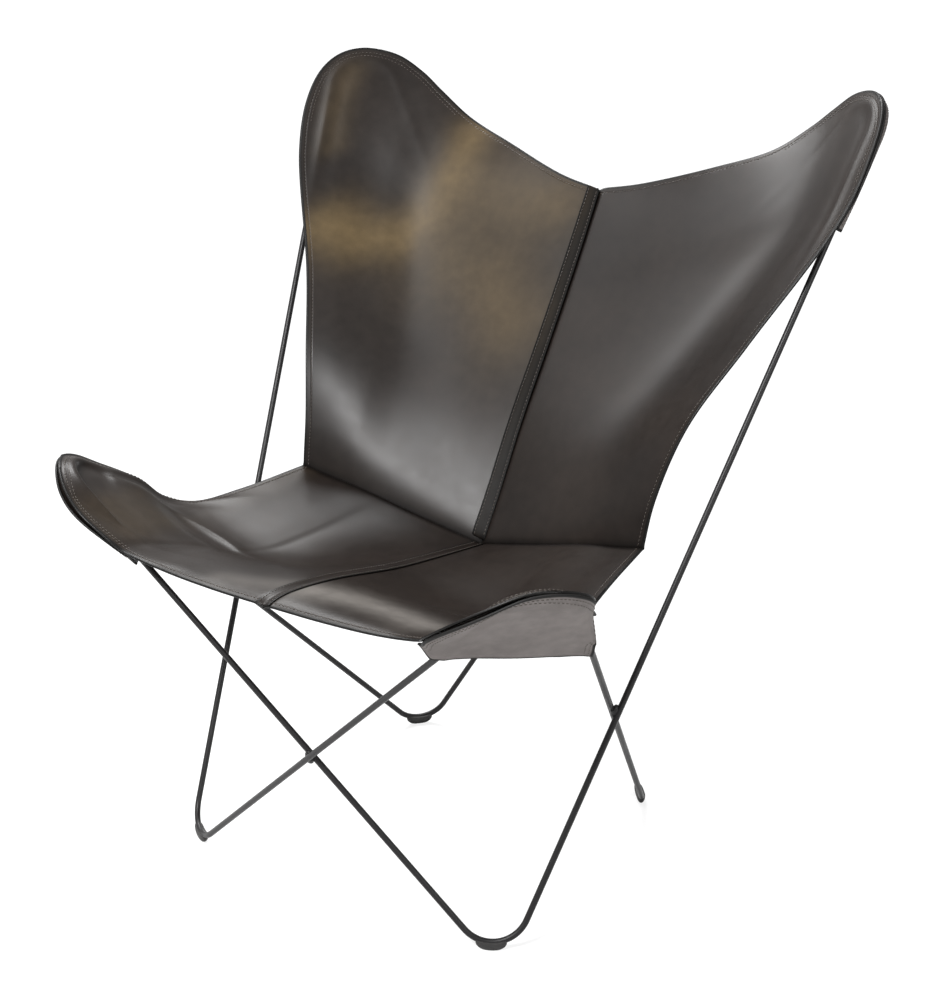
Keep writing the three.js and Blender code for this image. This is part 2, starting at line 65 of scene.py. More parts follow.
def addCamera():
    yaw, down, roll = (math.radians(cameraView[k]) for k in ("yaw", "down", "roll"))
    ahead = np.array([-math.sin(yaw) * math.cos(down), math.cos(yaw) * math.cos(down), -math.sin(down)])
    right = np.array([math.cos(yaw), math.sin(yaw), 0.0])
    up = np.cross(right, ahead)
    # the roll turns right and up about the line of sight
    turnedRight = math.cos(roll) * right + math.sin(roll) * up
    turnedUp = np.cross(turnedRight, ahead)
    data = bpy.data.cameras.new("camera")
    data.sensor_fit = "VERTICAL"
    data.sensor_height = cameraView["sensorHeight"]
    data.lens = cameraView["lens"]
    camera = bpy.data.objects.new("camera", data)
    camera.matrix_world = placedAt(turnedRight, turnedUp, -ahead, cameraView["place"])
    bpy.context.scene.collection.objects.link(camera)
    bpy.context.scene.camera = camera


addCamera()
print("camera placed")


# meshes from arrays of points

def gridFaces(rows, columns, start=0, closed=False):
    # quads between neighbouring points of a grid; closed joins the last column to the first
    last = columns if closed else columns - 1
    row, column = np.meshgrid(np.arange(rows - 1), np.arange(last), indexing="ij")
    across = (column + 1) % columns
    a = start + row * columns + column
    b = start + row * columns + across
    c = start + (row + 1) * columns + across
    d = start + (row + 1) * columns + column
    return np.stack([a, b, c, d], -1).reshape(-1, 4)


def makeObject(name, points, quads, triangles=None, smooth=True, values=None, finishes=None):
    # points N x 3 in metres, quads and triangles as index rows, values as named per-point numbers,
    # finishes as the material number of each face
    mesh = bpy.data.meshes.new(name)
    faces = [np.asarray(quads, int).reshape(-1, 4)]
    sizes = [np.full(len(faces[0]), 4)]
    if triangles is not None and len(triangles):
        faces.append(np.asarray(triangles, int).reshape(-1, 3))
        sizes.append(np.full(len(faces[1]), 3))
    loops = np.concatenate([f.ravel() for f in faces])
    sizes = np.concatenate(sizes)
    mesh.vertices.add(len(points))
    mesh.vertices.foreach_set("co", np.asarray(points, np.float32).ravel())
    mesh.loops.add(len(loops))
    mesh.loops.foreach_set("vertex_index", loops.astype(np.int32))
    mesh.polygons.add(len(sizes))
    mesh.polygons.foreach_set("loop_start", np.concatenate([[0], np.cumsum(sizes)[:-1]]).astype(np.int32))
    mesh.polygons.foreach_set("use_smooth", np.full(len(sizes), smooth))
    mesh.update(calc_edges=True)
    if finishes is not None:
        mesh.polygons.foreach_set("material_index", np.asarray(finishes, np.int32))
    for key, numbers in (values or {}).items():
        layer = mesh.attributes.new(key, "FLOAT", "POINT")
        layer.data.foreach_set("value", np.asarray(numbers, np.float32))
    mesh.validate()
    made = bpy.data.objects.new(name, mesh)
    bpy.context.scene.collection.objects.link(made)
    return made


def unit(vectors):
    return vectors / np.maximum(np.linalg.norm(vectors, axis=-1, keepdims=True), 1e-12)


def gridNormals(grid):
    # each corner's normal is the sum of its quads' normals, which are the cross products of their diagonals
    diagonalOne = grid[1:, 1:] - grid[:-1, :-1]
    diagonalTwo = grid[1:, :-1] - grid[:-1, 1:]
    face = np.cross(diagonalOne, diagonalTwo)
    total = np.zeros_like(grid)
    total[:-1, :-1] += face
    total[:-1, 1:] += face
    total[1:, :-1] += face
    total[1:, 1:] += face
    return unit(total)


def endFans(rows, sides, firstPole, lastPole):
    # triangles between the first and last ring of a tube and the points in their middles
    ring = np.arange(sides)
    following = (ring + 1) % sides
    lastRow = (rows - 1) * sides
    return np.concatenate([
        np.stack([np.full(sides, firstPole), following, ring], -1),
        np.stack([np.full(sides, lastPole), lastRow + ring, lastRow + following], -1),
    ])


def facingOut(points, quads, triangles):
    # each quad a, b, c, d adds (a x b) . c + (a x c) . d to the volume, negative where the faces point in
    a, b, c, d = (points[quads[:, k]] for k in range(4))
    volume = (np.cross(a, b) * c).sum() + (np.cross(a, c) * d).sum()
    return (quads, triangles) if volume > 0 else (quads[:, ::-1], triangles[:, ::-1])


def smoothStep(value):
    value = np.clip(value, 0, 1)
    return value * value * (3 - 2 * value)


def gaussian(distance, width):
    return np.exp(-((distance / width) ** 2))


def alongLine(line, places):
    # points at the given distances along a line of points
    reached = np.concatenate([[0], np.cumsum(np.linalg.norm(np.diff(line, axis=0), axis=1))])
    return np.stack([np.interp(places, reached, line[:, k]) for k in range(line.shape[1])], -1)


def lineLength(line):
    return float(np.linalg.norm(np.diff(line, axis=0), axis=1).sum())


def nearest(points, line, step=0.8, chunk=3000):
    # distance from each point to the nearest of close points along a line, and that point's share of the line
    close = alongLine(line, np.arange(0, lineLength(line), step)).astype(np.float32)
    flat = points.reshape(-1, points.shape[-1]).astype(np.float32)
    away, share = [], []
    for i in range(0, len(flat), chunk):
        square = ((flat[i:i + chunk, None] - close[None]) ** 2).sum(-1)
        best = square.argmin(1)
        away.append(np.sqrt(square[np.arange(len(best)), best]))
        share.append(best / len(close))
    return tuple(np.concatenate(v).astype(float).reshape(points.shape[:-1]) for v in (away, share))


def borderIndex(rows, columns):
    # the grid's border as one loop of (row, column), starting at row 0, column 0
    top = [(0, c) for c in range(columns)]
    right = [(r, columns - 1) for r in range(1, rows)]
    bottom = [(rows - 1, c) for c in range(columns - 2, -1, -1)]
    left = [(r, 0) for r in range(rows - 2, 0, -1)]
    loop = np.array(top + right + bottom + left)
    return loop[:, 0], loop[:, 1]


# two loops of bent rod, each over one front peak and the opposite back peak

rodFrame = {
    "rod": 7.5,
    "weldRoot": 1.2,
    "frontPeak": (377.0, 309.0, 553.0),  # half span, reach and height of the unbent corner
    "backPeak": (419.0, 398.0, 1016.0),
    "frontFootHalfSpan": 238.5,
    "footReach": 209.0,
    "peakBend": 45.0,
    "frontFootBend": 43.0,
    "backFootBend": 37.5,
    "glideThickness": 6.25,
    "bendSteps": 26,
    "rodSides": 20,
    "straightStep": 14.0,
    "settlingRounds": 12,  # of the search for the feet's places
}
rodRadius = rodFrame["rod"] / 2
restHeight = rodFrame["glideThickness"] + rodRadius
crossingDistance = rodFrame["rod"] + rodFrame["weldRoot"]


def bend(start, corner, end, radius, steps=12):
    # an arc of the given radius that touches both straight lines through the corner
    toStart, toEnd = unit(start - corner), unit(end - corner)
    half = math.acos(np.clip(toStart @ toEnd, -1, 1)) / 2
    centre = corner + unit(toStart + toEnd) * radius / math.sin(half)
    first = corner + toStart * radius / math.tan(half) - centre
    axis = -unit(np.cross(toStart, toEnd))
    angle = (math.pi - 2 * half) * np.linspace(0, 1, steps + 1)[:, None]
    # turning a vector about an axis: v cos + (axis x v) sin, for v at right angles to the axis
    return centre + first * np.cos(angle) + np.cross(axis, first) * np.sin(angle)


def footCorner(x, y, one, two, radius):
    # the unbent corner moves down or up until the bend's lowest point is where the rod rests
    corner = np.array([x, y, 0.0])
    for _ in range(rodFrame["settlingRounds"]):
        corner[2] += restHeight - bend(one, corner, two, radius)[:, 2].min()
    return corner


def crossing(fromOne, toOne, fromTwo, toTwo):
    # where two lines pass closest: both points lie on their common normal
    one, two = toOne - fromOne, toTwo - fromTwo
    normal = unit(np.cross(one, two))
    between = fromTwo - fromOne
    scale = np.cross(one, two) @ normal
    shareOne = np.cross(between, two) @ normal / scale
    shareTwo = np.cross(between, one) @ normal / scale
    return {
        "onOne": fromOne + one * shareOne,
        "onTwo": fromTwo + two * shareTwo,
        "normal": normal,
        "shareOne": shareOne,
        "one": unit(one),
        "two": unit(two),
    }


def makeLoops():
    # the loops are staggered to clear each other at the front and back, and each back foot's span is moved
    # until the rods stand as far apart where they cross at the sides
    slope = unit(np.array([0, rodFrame["frontPeak"][2], rodFrame["frontPeak"][1] - rodFrame["footReach"]]))
    stagger = crossingDistance / 2 / slope[1]
    loops = []
    for hand in (1, -1):
        span, reach, height = rodFrame["frontPeak"]
        front = np.array([-hand * span, -reach + hand * stagger, height])
        span, reach, height = rodFrame["backPeak"]
        back = np.array([hand * span, reach + hand * stagger, height])
        x = hand * rodFrame["frontFootHalfSpan"]
        foot = footCorner(x, -rodFrame["footReach"] + hand * stagger, front, back, rodFrame["frontFootBend"])
        loops.append({"hand": hand, "front": front, "back": back, "frontFoot": foot})
    for loop, other in (loops, loops[::-1]):
        side = -loop["hand"]
        halfSpan = rodFrame["frontFootHalfSpan"]
        for _ in range(rodFrame["settlingRounds"]):
            y = rodFrame["footReach"] + loop["hand"] * stagger
            foot = footCorner(side * halfSpan, y, loop["back"], loop["front"], rodFrame["backFootBend"])
            cross = crossing(loop["front"], foot, other["back"], other["frontFoot"])
            outward = cross["normal"] * np.sign(cross["normal"][0] * side)
            distance = (cross["onTwo"] - cross["onOne"]) @ outward
            halfSpan += (distance - crossingDistance) / (abs(outward[0]) * cross["shareOne"])
            loop["backFoot"] = foot
    return loops


loopOne, loopTwo = makeLoops()
crossings = {
    "front": crossing(loopOne["front"], loopOne["frontFoot"], loopTwo["front"], loopTwo["frontFoot"]),
    "back": crossing(loopOne["back"], loopOne["backFoot"], loopTwo["back"], loopTwo["backFoot"]),
    "left": crossing(loopOne["front"], loopOne["backFoot"], loopTwo["back"], loopTwo["frontFoot"]),
    "right": crossing(loopOne["back"], loopOne["frontFoot"], loopTwo["front"], loopTwo["backFoot"]),
}


def loopPath(loop):
    # front peak, front foot, back peak, back foot and round again, as arcs with even points between them
    corners = [loop["front"], loop["frontFoot"], loop["back"], loop["backFoot"]]
    radii = [rodFrame["peakBend"], rodFrame["frontFootBend"], rodFrame["peakBend"], rodFrame["backFootBend"]]
    arcs = [
        bend(corners[i - 1], corners[i], corners[(i + 1) % 4], radii[i], rodFrame["bendSteps"])
        for i in range(4)
    ]
    path = []
    for i, arc in enumerate(arcs):
        nextArc = arcs[(i + 1) % 4]
        path.append(arc)
        count = int(np.linalg.norm(nextArc[0] - arc[-1]) / rodFrame["straightStep"])
        share = np.linspace(0, 1, count + 1)[1:-1, None]
        path.append(arc[-1] + (nextArc[0] - arc[-1]) * share)
    return np.concatenate(path)


def tubeAlong(path, radius, sides):
    # a circle carried along the path: each ring's own axes are the last ring's, turned as little as the bend
    # needs, and its points are path + radius (side cos t + other sin t)
    count = len(path)
    tangent = unit(np.roll(path, -1, 0) - np.roll(path, 1, 0))
    side = np.zeros_like(path)
    # the first ring may start anywhere round the path
    first = np.cross(tangent[0], [0.3, 0.2, 1.0])
    side[0] = unit(first)
    for i in range(1, count):
        side[i] = unit(side[i - 1] - tangent[i] * (side[i - 1] @ tangent[i]))
    # the little twist left over at the join is shared out along the loop
    last = unit(side[-1] - tangent[0] * (side[-1] @ tangent[0]))
    twist = math.atan2(np.cross(last, side[0]) @ tangent[0], last @ side[0])
    angle = twist * np.arange(count)[:, None] / count
    side = side * np.cos(angle) + np.cross(tangent, side) * np.sin(angle)
    other = np.cross(tangent, side)
    turn = np.linspace(0, 2 * math.pi, sides, endpoint=False)
    ring = side[:, None] * np.cos(turn)[None, :, None] + other[:, None] * np.sin(turn)[None, :, None]
    return path[:, None] + ring * radius


def addLoop(name, loop, nodes):
    path = loopPath(loop)
    points = tubeAlong(path, rodRadius, rodFrame["rodSides"])
    rows, sides = points.shape[:2]
    # the row of faces past the last ring joins it to the first
    quads = gridFaces(rows + 1, sides, closed=True) % (rows * sides)
    made = makeObject(name, points.reshape(-1, 3) * mm, quads)
    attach(made, "root")
    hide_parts(*nodes)
    return made


loopOneRod = addLoop(
    "frameLoopOne", loopOne,
    ["rod_front_peak_left", "rod_front_foot_right", "rod_back_peak_right", "rod_back_foot_left"],
)
loopTwoRod = addLoop(
    "frameLoopTwo", loopTwo,
    ["rod_front_peak_right", "rod_front_foot_left", "rod_back_peak_left", "rod_back_foot_right"],
)
print("rod loops made")

weldBead = {
    "halfLength": 9.5,
    "halfDepth": 4.6,
    "widthShare": 0.62,  # of the length
    "ripples": 5,
    "rippleHeight": 0.35,
    "rows": 28,
    "columns": 40,
}


def addBead(name, cross, node):
    # a flattened ball between the rods, with the ripples that a weld pool leaves along it
    polar, turn = np.meshgrid(
        np.linspace(0, math.pi, weldBead["rows"]),
        np.linspace(0, 2 * math.pi, weldBead["columns"], endpoint=False),
        indexing="ij",
    )
    along = unit(cross["one"] + cross["two"])
    across = unit(cross["one"] - cross["two"])
    x, y, z = np.sin(polar) * np.cos(turn), np.sin(polar) * np.sin(turn), np.cos(polar)
    ripple = 1 + weldBead["rippleHeight"] / weldBead["halfLength"] * np.cos(math.pi * weldBead["ripples"] * x)
    middle = (cross["onOne"] + cross["onTwo"]) / 2
    points = middle + (
        (x * weldBead["halfLength"] * ripple)[..., None] * along
        + (y * weldBead["halfLength"] * weldBead["widthShare"] * ripple)[..., None] * across
        + (z * weldBead["halfDepth"])[..., None] * cross["normal"]
    )
    inner = points[1:-1]
    rings, columns = inner.shape[:2]
    allPoints = np.concatenate([inner.reshape(-1, 3), points[:1, 0], points[-1:, 0]])
    poles = len(allPoints) - 2, len(allPoints) - 1
    faces = facingOut(allPoints, gridFaces(rings, columns, closed=True), endFans(rings, columns, *poles))
    made = makeObject(name, allPoints * mm, *faces)
    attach(made, "root")
    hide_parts(node)
    return made


beads = [
    addBead(f"weldBead{place.capitalize()}", cross, f"weld_{place}") for place, cross in crossings.items()
]
print("weld beads made")


# moulded rubber glides, each clipped round the underside of a foot's bend

glideShape = {
    "halfLength": 17.0,
    "halfWidth": 5.7,
    "depth": 11.2,  # below the rod's centre line; the part below the floor is cut flat
    "lip": 1.3,  # above the rod's centre line
    "sunk": 0.4,  # how far the ends go under the rod's surface
    "bluntness": 3,
    "fullness": 0.6,
    "lipRounding": 0.3,
    "stations": 27,
    "sides": 36,
    "pathSteps": 120,
}


def addGlide(name, before, foot, after, radius, node):
    # a boat shape: half ellipses across the rod that shrink into it at both ends, cut flat by the floor
    path = bend(before, foot, after, radius, glideShape["pathSteps"])
    reached = np.concatenate([[0], np.cumsum(np.linalg.norm(np.diff(path, axis=0), axis=1))])
    middle = reached[path[:, 2].argmin()]
    share = np.sin(np.linspace(-math.pi / 2, math.pi / 2, glideShape["stations"]))
    centre = alongLine(path, middle + glideShape["halfLength"] * share)
    ahead = unit(np.gradient(centre, axis=0))
    across = unit(np.cross(ahead, [0, 0, 1.0]))
    up = np.cross(across, ahead)
    swell = (1 - np.abs(share) ** glideShape["bluntness"]) ** glideShape["fullness"]
    inRod = rodRadius - glideShape["sunk"]
    width = inRod + (glideShape["halfWidth"] - inRod) * swell
    depth = inRod + (glideShape["depth"] - inRod) * swell
    turn = np.linspace(0, 2 * math.pi, glideShape["sides"], endpoint=False)
    sideways, upward = np.cos(turn), np.sin(turn)
    lip = glideShape["lip"] * swell[:, None] * np.abs(upward) ** glideShape["lipRounding"]
    rise = np.where(upward > 0, lip, depth[:, None] * upward)
    points = (
        centre[:, None]
        + across[:, None] * (width[:, None] * sideways)[..., None]
        + up[:, None] * rise[..., None]
    )
    points[..., 2] = np.maximum(points[..., 2], 0)
    rings, columns = points.shape[:2]
    allPoints = np.concatenate([points.reshape(-1, 3), centre[:1], centre[-1:]])
    poles = len(allPoints) - 2, len(allPoints) - 1
    faces = facingOut(allPoints, gridFaces(rings, columns, closed=True), endFans(rings, columns, *poles))
    made = makeObject(name, allPoints * mm, *faces)
    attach(made, "root")
    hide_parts(node)
    return made


glidePieces = []
for loop, front, back in ((loopOne, "right", "left"), (loopTwo, "left", "right")):
    glidePieces.append(addGlide(
        f"glideFront{front.capitalize()}", loop["front"], loop["frontFoot"], loop["back"],
        rodFrame["frontFootBend"], f"glide_front_foot_{front}",
    ))
    glidePieces.append(addGlide(
        f"glideBack{back.capitalize()}", loop["back"], loop["backFoot"], loop["front"],
        rodFrame["backFootBend"], f"glide_back_foot_{back}",
    ))
print("glides made")


# the sling: two back panels and two seat panels, hung from the four peaks

sling = {
    "thickness": 3.0,
    "pocketThickness": 2.4,
    "rodPlay": 1.6,
    "seatSag": 12.0,
    "seatSagWay": (0, 0, -1.0),
    "backSag": 14.0,
    "backSagWay": (0, 0.8, -0.6),
    "backTop": [[0, 0.905, 0.745], [0.14, 0.92, 0.756], [0.372, 0.978, 0.784], [0.545, 1.003, 0.81]],
    "backTip": [
        [-0.12, 2.34, 0.1], [0.53, 1.82, 0], [1.09, 1.1, 0], [1.34, 0.14, 0],
        [1.22, -0.6, 0], [0.74, -1.25, 0], [-0.22, -1.78, 0], [-1.8, -2.12, 0],
    ],
    "backSide": [[0.778, 0.4, 0.635], [0.677, 0.259, 0.546], [0.626, 0.183, 0.464], [0.611, 0.143, 0.4085]],
    "backSeam": [[0, 0.771, 0.662], [0, 0.616, 0.572], [0, 0.457, 0.483], [0, 0.334, 0.4045]],
    "junction": [0, 0.239, 0.3435],
    "frontEdge": [[0, -1.026, 0.75], [0.21, -1.012, 0.747], [0.4, -1.005, 0.752], [0.55, -1.02, 0.772]],
    "frontTip": [
        [-0.71, -2.4, -0.22], [0.27, -1.93, -0.36], [0.9, -1.28, -0.34], [1.32, -0.4, -0.2],
        [1.3, 0.38, -0.14], [0.98, 1.02, -0.08], [0.38, 1.4, 0.07], [-0.72, 1.62, 0.46],
    ],
    "frontSide": [[0.84, -0.47, 0.762], [0.776, -0.37, 0.74], [0.728, -0.155, 0.74]],
    "seatSeam": [[0, -0.654, 0.732], [0, -0.236, 0.685]],
    "gridSteps": 160,
    # where it passes over the rod: how far under the pulled height, how steep and how round, how soft the
    # join to the open panel is, and between which depths below the bend's centre it fades
    "tent": {"under": 0.6, "slope": 0.95, "round": 6.0, "join": 1.5, "fade": (320.0, 170.0)},
    "rimShare": 0.03,  # of the panel, over which shapes fade to nothing at the rim
    # how far the leather stands up along the rod and how it is drawn down beside it
    "backRidge": 1.0,
    "frontRidge": 2.8,
    "ridge": {
        "width": 6.0, "drawn": 0.5, "drawnAt": 15.0, "drawnWidth": 8.0,
        "fade": (190.0, 40.0), "least": 0.2, "legReach": 70.0,
    },
    "seamDip": 3.4,  # how far the right panel is drawn into the centre seam
    "junctionDip": 1.8,
    "seamLap": 0.9,  # how far the sewn edges are drawn past each other
    # the back rolls out of the cross seam at this slope, over a reach that grows from the middle to the side,
    # and at this share of it at the side itself
    "crossRoll": {"slope": 0.42, "reach": 15.0, "growth": 52.0 / 250.0, "sideShare": 0.3, "sideFade": 0.3},
    # the seat's front edge turns down at this slope, over this reach, and not past these widths
    "frontRoll": {"slope": 0.5, "reach": 42.0, "widths": (230.0, 140.0)},
    "fold": [(330, -229), (283, -174), (246, -157), (195, -150), (140, -160), (95, -180), (50, -205)],
    "foldHeight": 5.2,  # the crease that runs from each front corner toward the middle of the seat
    "foldWidth": 12.0,
    "foldTop": 2.0,
    "foldFadeShares": (0.06, 0.5),  # of the crease's length, at its two ends
    "seamDipWidth": 7.0,
    "junctionReach": 12.0,
    "lappedShare": 0.15,  # of the dip, on the panel that laps over
}
sitterSide = unit(np.array([0, -0.6, 1.0]))
panelLift = rodRadius + sling["rodPlay"] + sling["thickness"] / 2
pocketLift = rodRadius + sling["rodPlay"] + sling["pocketThickness"] / 2
peakBend = rodFrame["peakBend"]


def peakAxes(peak, frontFoot, backFoot):
    # a peak's own axes: out toward the tip, across toward the back leg and up, from the centre of its bend
    toFront, toBack = unit(frontFoot - peak), unit(backFoot - peak)
    half = math.acos(np.clip(toFront @ toBack, -1, 1)) / 2
    out = -unit(toFront + toBack)
    across = unit(toBack - toFront)
    up = np.cross(out, across)
    up = -up if up[2] < 0 else up
    centre = peak - out * peakBend / math.sin(half)
    return {"centre": centre, "axes": np.array([out, across, up]), "half": half}


def toPeak(peak, points):
    return (points - peak["centre"]) @ peak["axes"].T


def fromPeak(peak, local):
    return peak["centre"] + local @ peak["axes"]


def beyondRod(peak, out, across):
    # distance past the rod's centre line in the peak's plane: an arc at the bend, straight legs below it
    sine, cosine = math.sin(peak["half"]), math.cos(peak["half"])
    atBend = out * cosine - np.abs(across) * sine > 0
    return np.where(atBend, np.hypot(out, across), out * sine + np.abs(across) * cosine) - peakBend


def splineThrough(points, stepsEach=60):
    # centripetal spline: each stretch is a cubic, whose end slopes follow from its own chord and those of its
    # neighbours, each taken at the square root of its length
    points = np.asarray(points, float)
    padded = np.concatenate([[2 * points[0] - points[1]], points, [2 * points[-1] - points[-2]]])
    before, first, second, after = padded[:-3], padded[1:-2], padded[2:-1], padded[3:]
    gap = lambda a, b: np.sqrt(np.linalg.norm(b - a, axis=1))[:, None]
    gapOne, gapTwo, gapThree = gap(before, first), gap(first, second), gap(second, after)
    chord = (second - first) / gapTwo
    slopeOne = ((first - before) / gapOne - (second - before) / (gapOne + gapTwo) + chord) * gapTwo
    slopeTwo = (chord - (after - first) / (gapTwo + gapThree) + (after - second) / gapThree) * gapTwo
    share = np.linspace(0, 1, stepsEach, endpoint=False)[None, :, None]
    first, second, slopeOne, slopeTwo = (v[:, None] for v in (first, second, slopeOne, slopeTwo))
    curve = (
        first
        + slopeOne * share
        + (3 * (second - first) - 2 * slopeOne - slopeTwo) * share**2
        + (2 * (first - second) + slopeOne + slopeTwo) * share**3
    )
    curve = np.concatenate([curve.reshape(-1, points.shape[1]), points[-1:]])
    length = np.concatenate([[0], np.cumsum(np.linalg.norm(np.diff(curve, axis=0), axis=1))])
    return {"points": curve, "share": length / length[-1], "length": length[-1], "stepsEach": stepsEach}


def along(curve, share):
    return np.stack([np.interp(share, curve["share"], curve["points"][:, k]) for k in range(3)], -1)


def slingRim(side, half):
    # one spline from the centre seam round the tip to the side: its tip is given in bend radii from the
    # centre of the peak's bend, and the rest in shares of the peak's own place
    scale = np.array([side * half["size"][0], half["size"][1], half["size"][2]])
    start = np.array(half["start"]) * scale
    tip = np.array(half["tip"]) * peakBend + [0, 0, panelLift]
    end = np.array(half["end"]) * scale
    rim = splineThrough(np.concatenate([start, fromPeak(half["peak"], tip), end, half["corner"][None]]))
    rim["tipShare"] = rim["share"][(len(start) + half["tipIndex"]) * rim["stepsEach"]]
    return rim


def smoothMax(a, b, softness):
    # the larger of the two, with the corner where they meet rounded off
    return (a + b + np.sqrt((a - b) ** 2 + softness**2)) / 2


def fadeIn(out, depths):
    # from nothing at the first depth below the bend's centre to full at the second
    return smoothStep((out + depths[0]) / (depths[0] - depths[1]))


def panelMiddle(half, toSeam, toCross):
    # Coons patch: rim, cross seam, side and centre seam blended across, less the four corners counted twice,
    # and lowered in its middle by sag x sin(pi u) x sin(pi v)
    rim, seam, cross = half["rim"], half["seam"], half["cross"]
    rimPoint = lambda share: along(rim, rim["tipShare"] * (1 - share))
    sidePoint = lambda share: along(rim, rim["tipShare"] + (1 - rim["tipShare"]) * share)
    u, v = toSeam[..., None], toCross[..., None]
    point = (
        rimPoint(toSeam) * (1 - v) + along(cross, toSeam) * v
        + sidePoint(toCross) * (1 - u) + along(seam, toCross) * u
        - rimPoint(np.zeros(())) * (1 - u) * (1 - v) - rimPoint(np.ones(())) * u * (1 - v)
        - sidePoint(np.ones(())) * (1 - u) * v - along(seam, np.ones(())) * u * v
    )
    bow = np.sin(math.pi * toSeam) * np.sin(math.pi * toCross)
    point = point + half["sag"] * bow[..., None]
    local = toPeak(half["peak"], point)
    beyond = beyondRod(half["peak"], local[..., 0], local[..., 1])
    # over the rod the leather is a tent with a rounded top, as far as the rod stays close under it
    shape = sling["tent"]
    top = np.sqrt(beyond**2 + shape["round"] ** 2) - shape["round"]
    tent = panelLift - shape["under"] - shape["slope"] * top
    inside = np.minimum(np.minimum(toSeam, toCross) / sling["rimShare"], 1)
    lifted = smoothMax(local[..., 2], tent, shape["join"])
    local[..., 2] += (lifted - local[..., 2]) * fadeIn(local[..., 0], shape["fade"]) * inside
    # a ridge along the rod, with the leather drawn down beside it, which shows most on one of the two legs
    shape = sling["ridge"]
    leg = smoothStep(0.5 + half["ridgeSide"] * local[..., 1] / shape["legReach"])
    leg = shape["least"] + (1 - shape["least"]) * leg
    drawn = shape["drawn"] * gaussian(np.abs(beyond) - shape["drawnAt"], shape["drawnWidth"])
    ridge = gaussian(beyond, shape["width"]) - drawn
    local[..., 2] += half["ridge"] * ridge * fadeIn(local[..., 0], shape["fade"]) * leg * inside
    return fromPeak(half["peak"], local)


def slingHalves(side):
    backLoop, frontLoop = (loopOne, loopTwo) if side > 0 else (loopTwo, loopOne)
    backSize, frontSize = np.array(rodFrame["backPeak"]), np.array(rodFrame["frontPeak"])
    corner = np.array(sling["backSide"][-1]) * backSize * [side, 1, 1]
    junction = np.array(sling["junction"]) * backSize
    cross = splineThrough([corner, (corner + junction) / 2, junction])
    backSeam = np.array([sling["backTop"][0]] + sling["backSeam"]) * backSize
    frontSeam = np.array([sling["frontEdge"][0]] + sling["seatSeam"]) * frontSize
    back = {
        "peak": peakAxes(backLoop["back"], backLoop["frontFoot"], backLoop["backFoot"]),
        "size": backSize, "start": sling["backTop"], "tip": sling["backTip"], "tipIndex": 3,
        "end": sling["backSide"][:-1], "corner": corner, "cross": cross,
        "sag": sling["backSag"] * np.array(sling["backSagWay"]),
        "seam": splineThrough(np.concatenate([backSeam, junction[None]])),
    }
    front = {
        "peak": peakAxes(frontLoop["front"], frontLoop["frontFoot"], frontLoop["backFoot"]),
        "size": frontSize, "start": sling["frontEdge"], "tip": sling["frontTip"], "tipIndex": 4,
        "end": sling["frontSide"], "corner": corner, "cross": cross,
        "sag": sling["seatSag"] * np.array(sling["seatSagWay"]),
        "seam": splineThrough(np.concatenate([frontSeam, junction[None]])),
    }
    # the ridge shows on the outer leg of the back peaks and on the rear leg of the front peaks
    back["ridgeSide"] = math.copysign(1, back["peak"]["axes"][1, 0] * side)
    front["ridgeSide"] = 1
    back["ridge"], front["ridge"] = sling["backRidge"], sling["frontRidge"]
    for half in (back, front):
        half["rim"] = slingRim(side, half)
    return {"back": back, "front": front}


halves = {"right": slingHalves(1), "left": slingHalves(-1)}


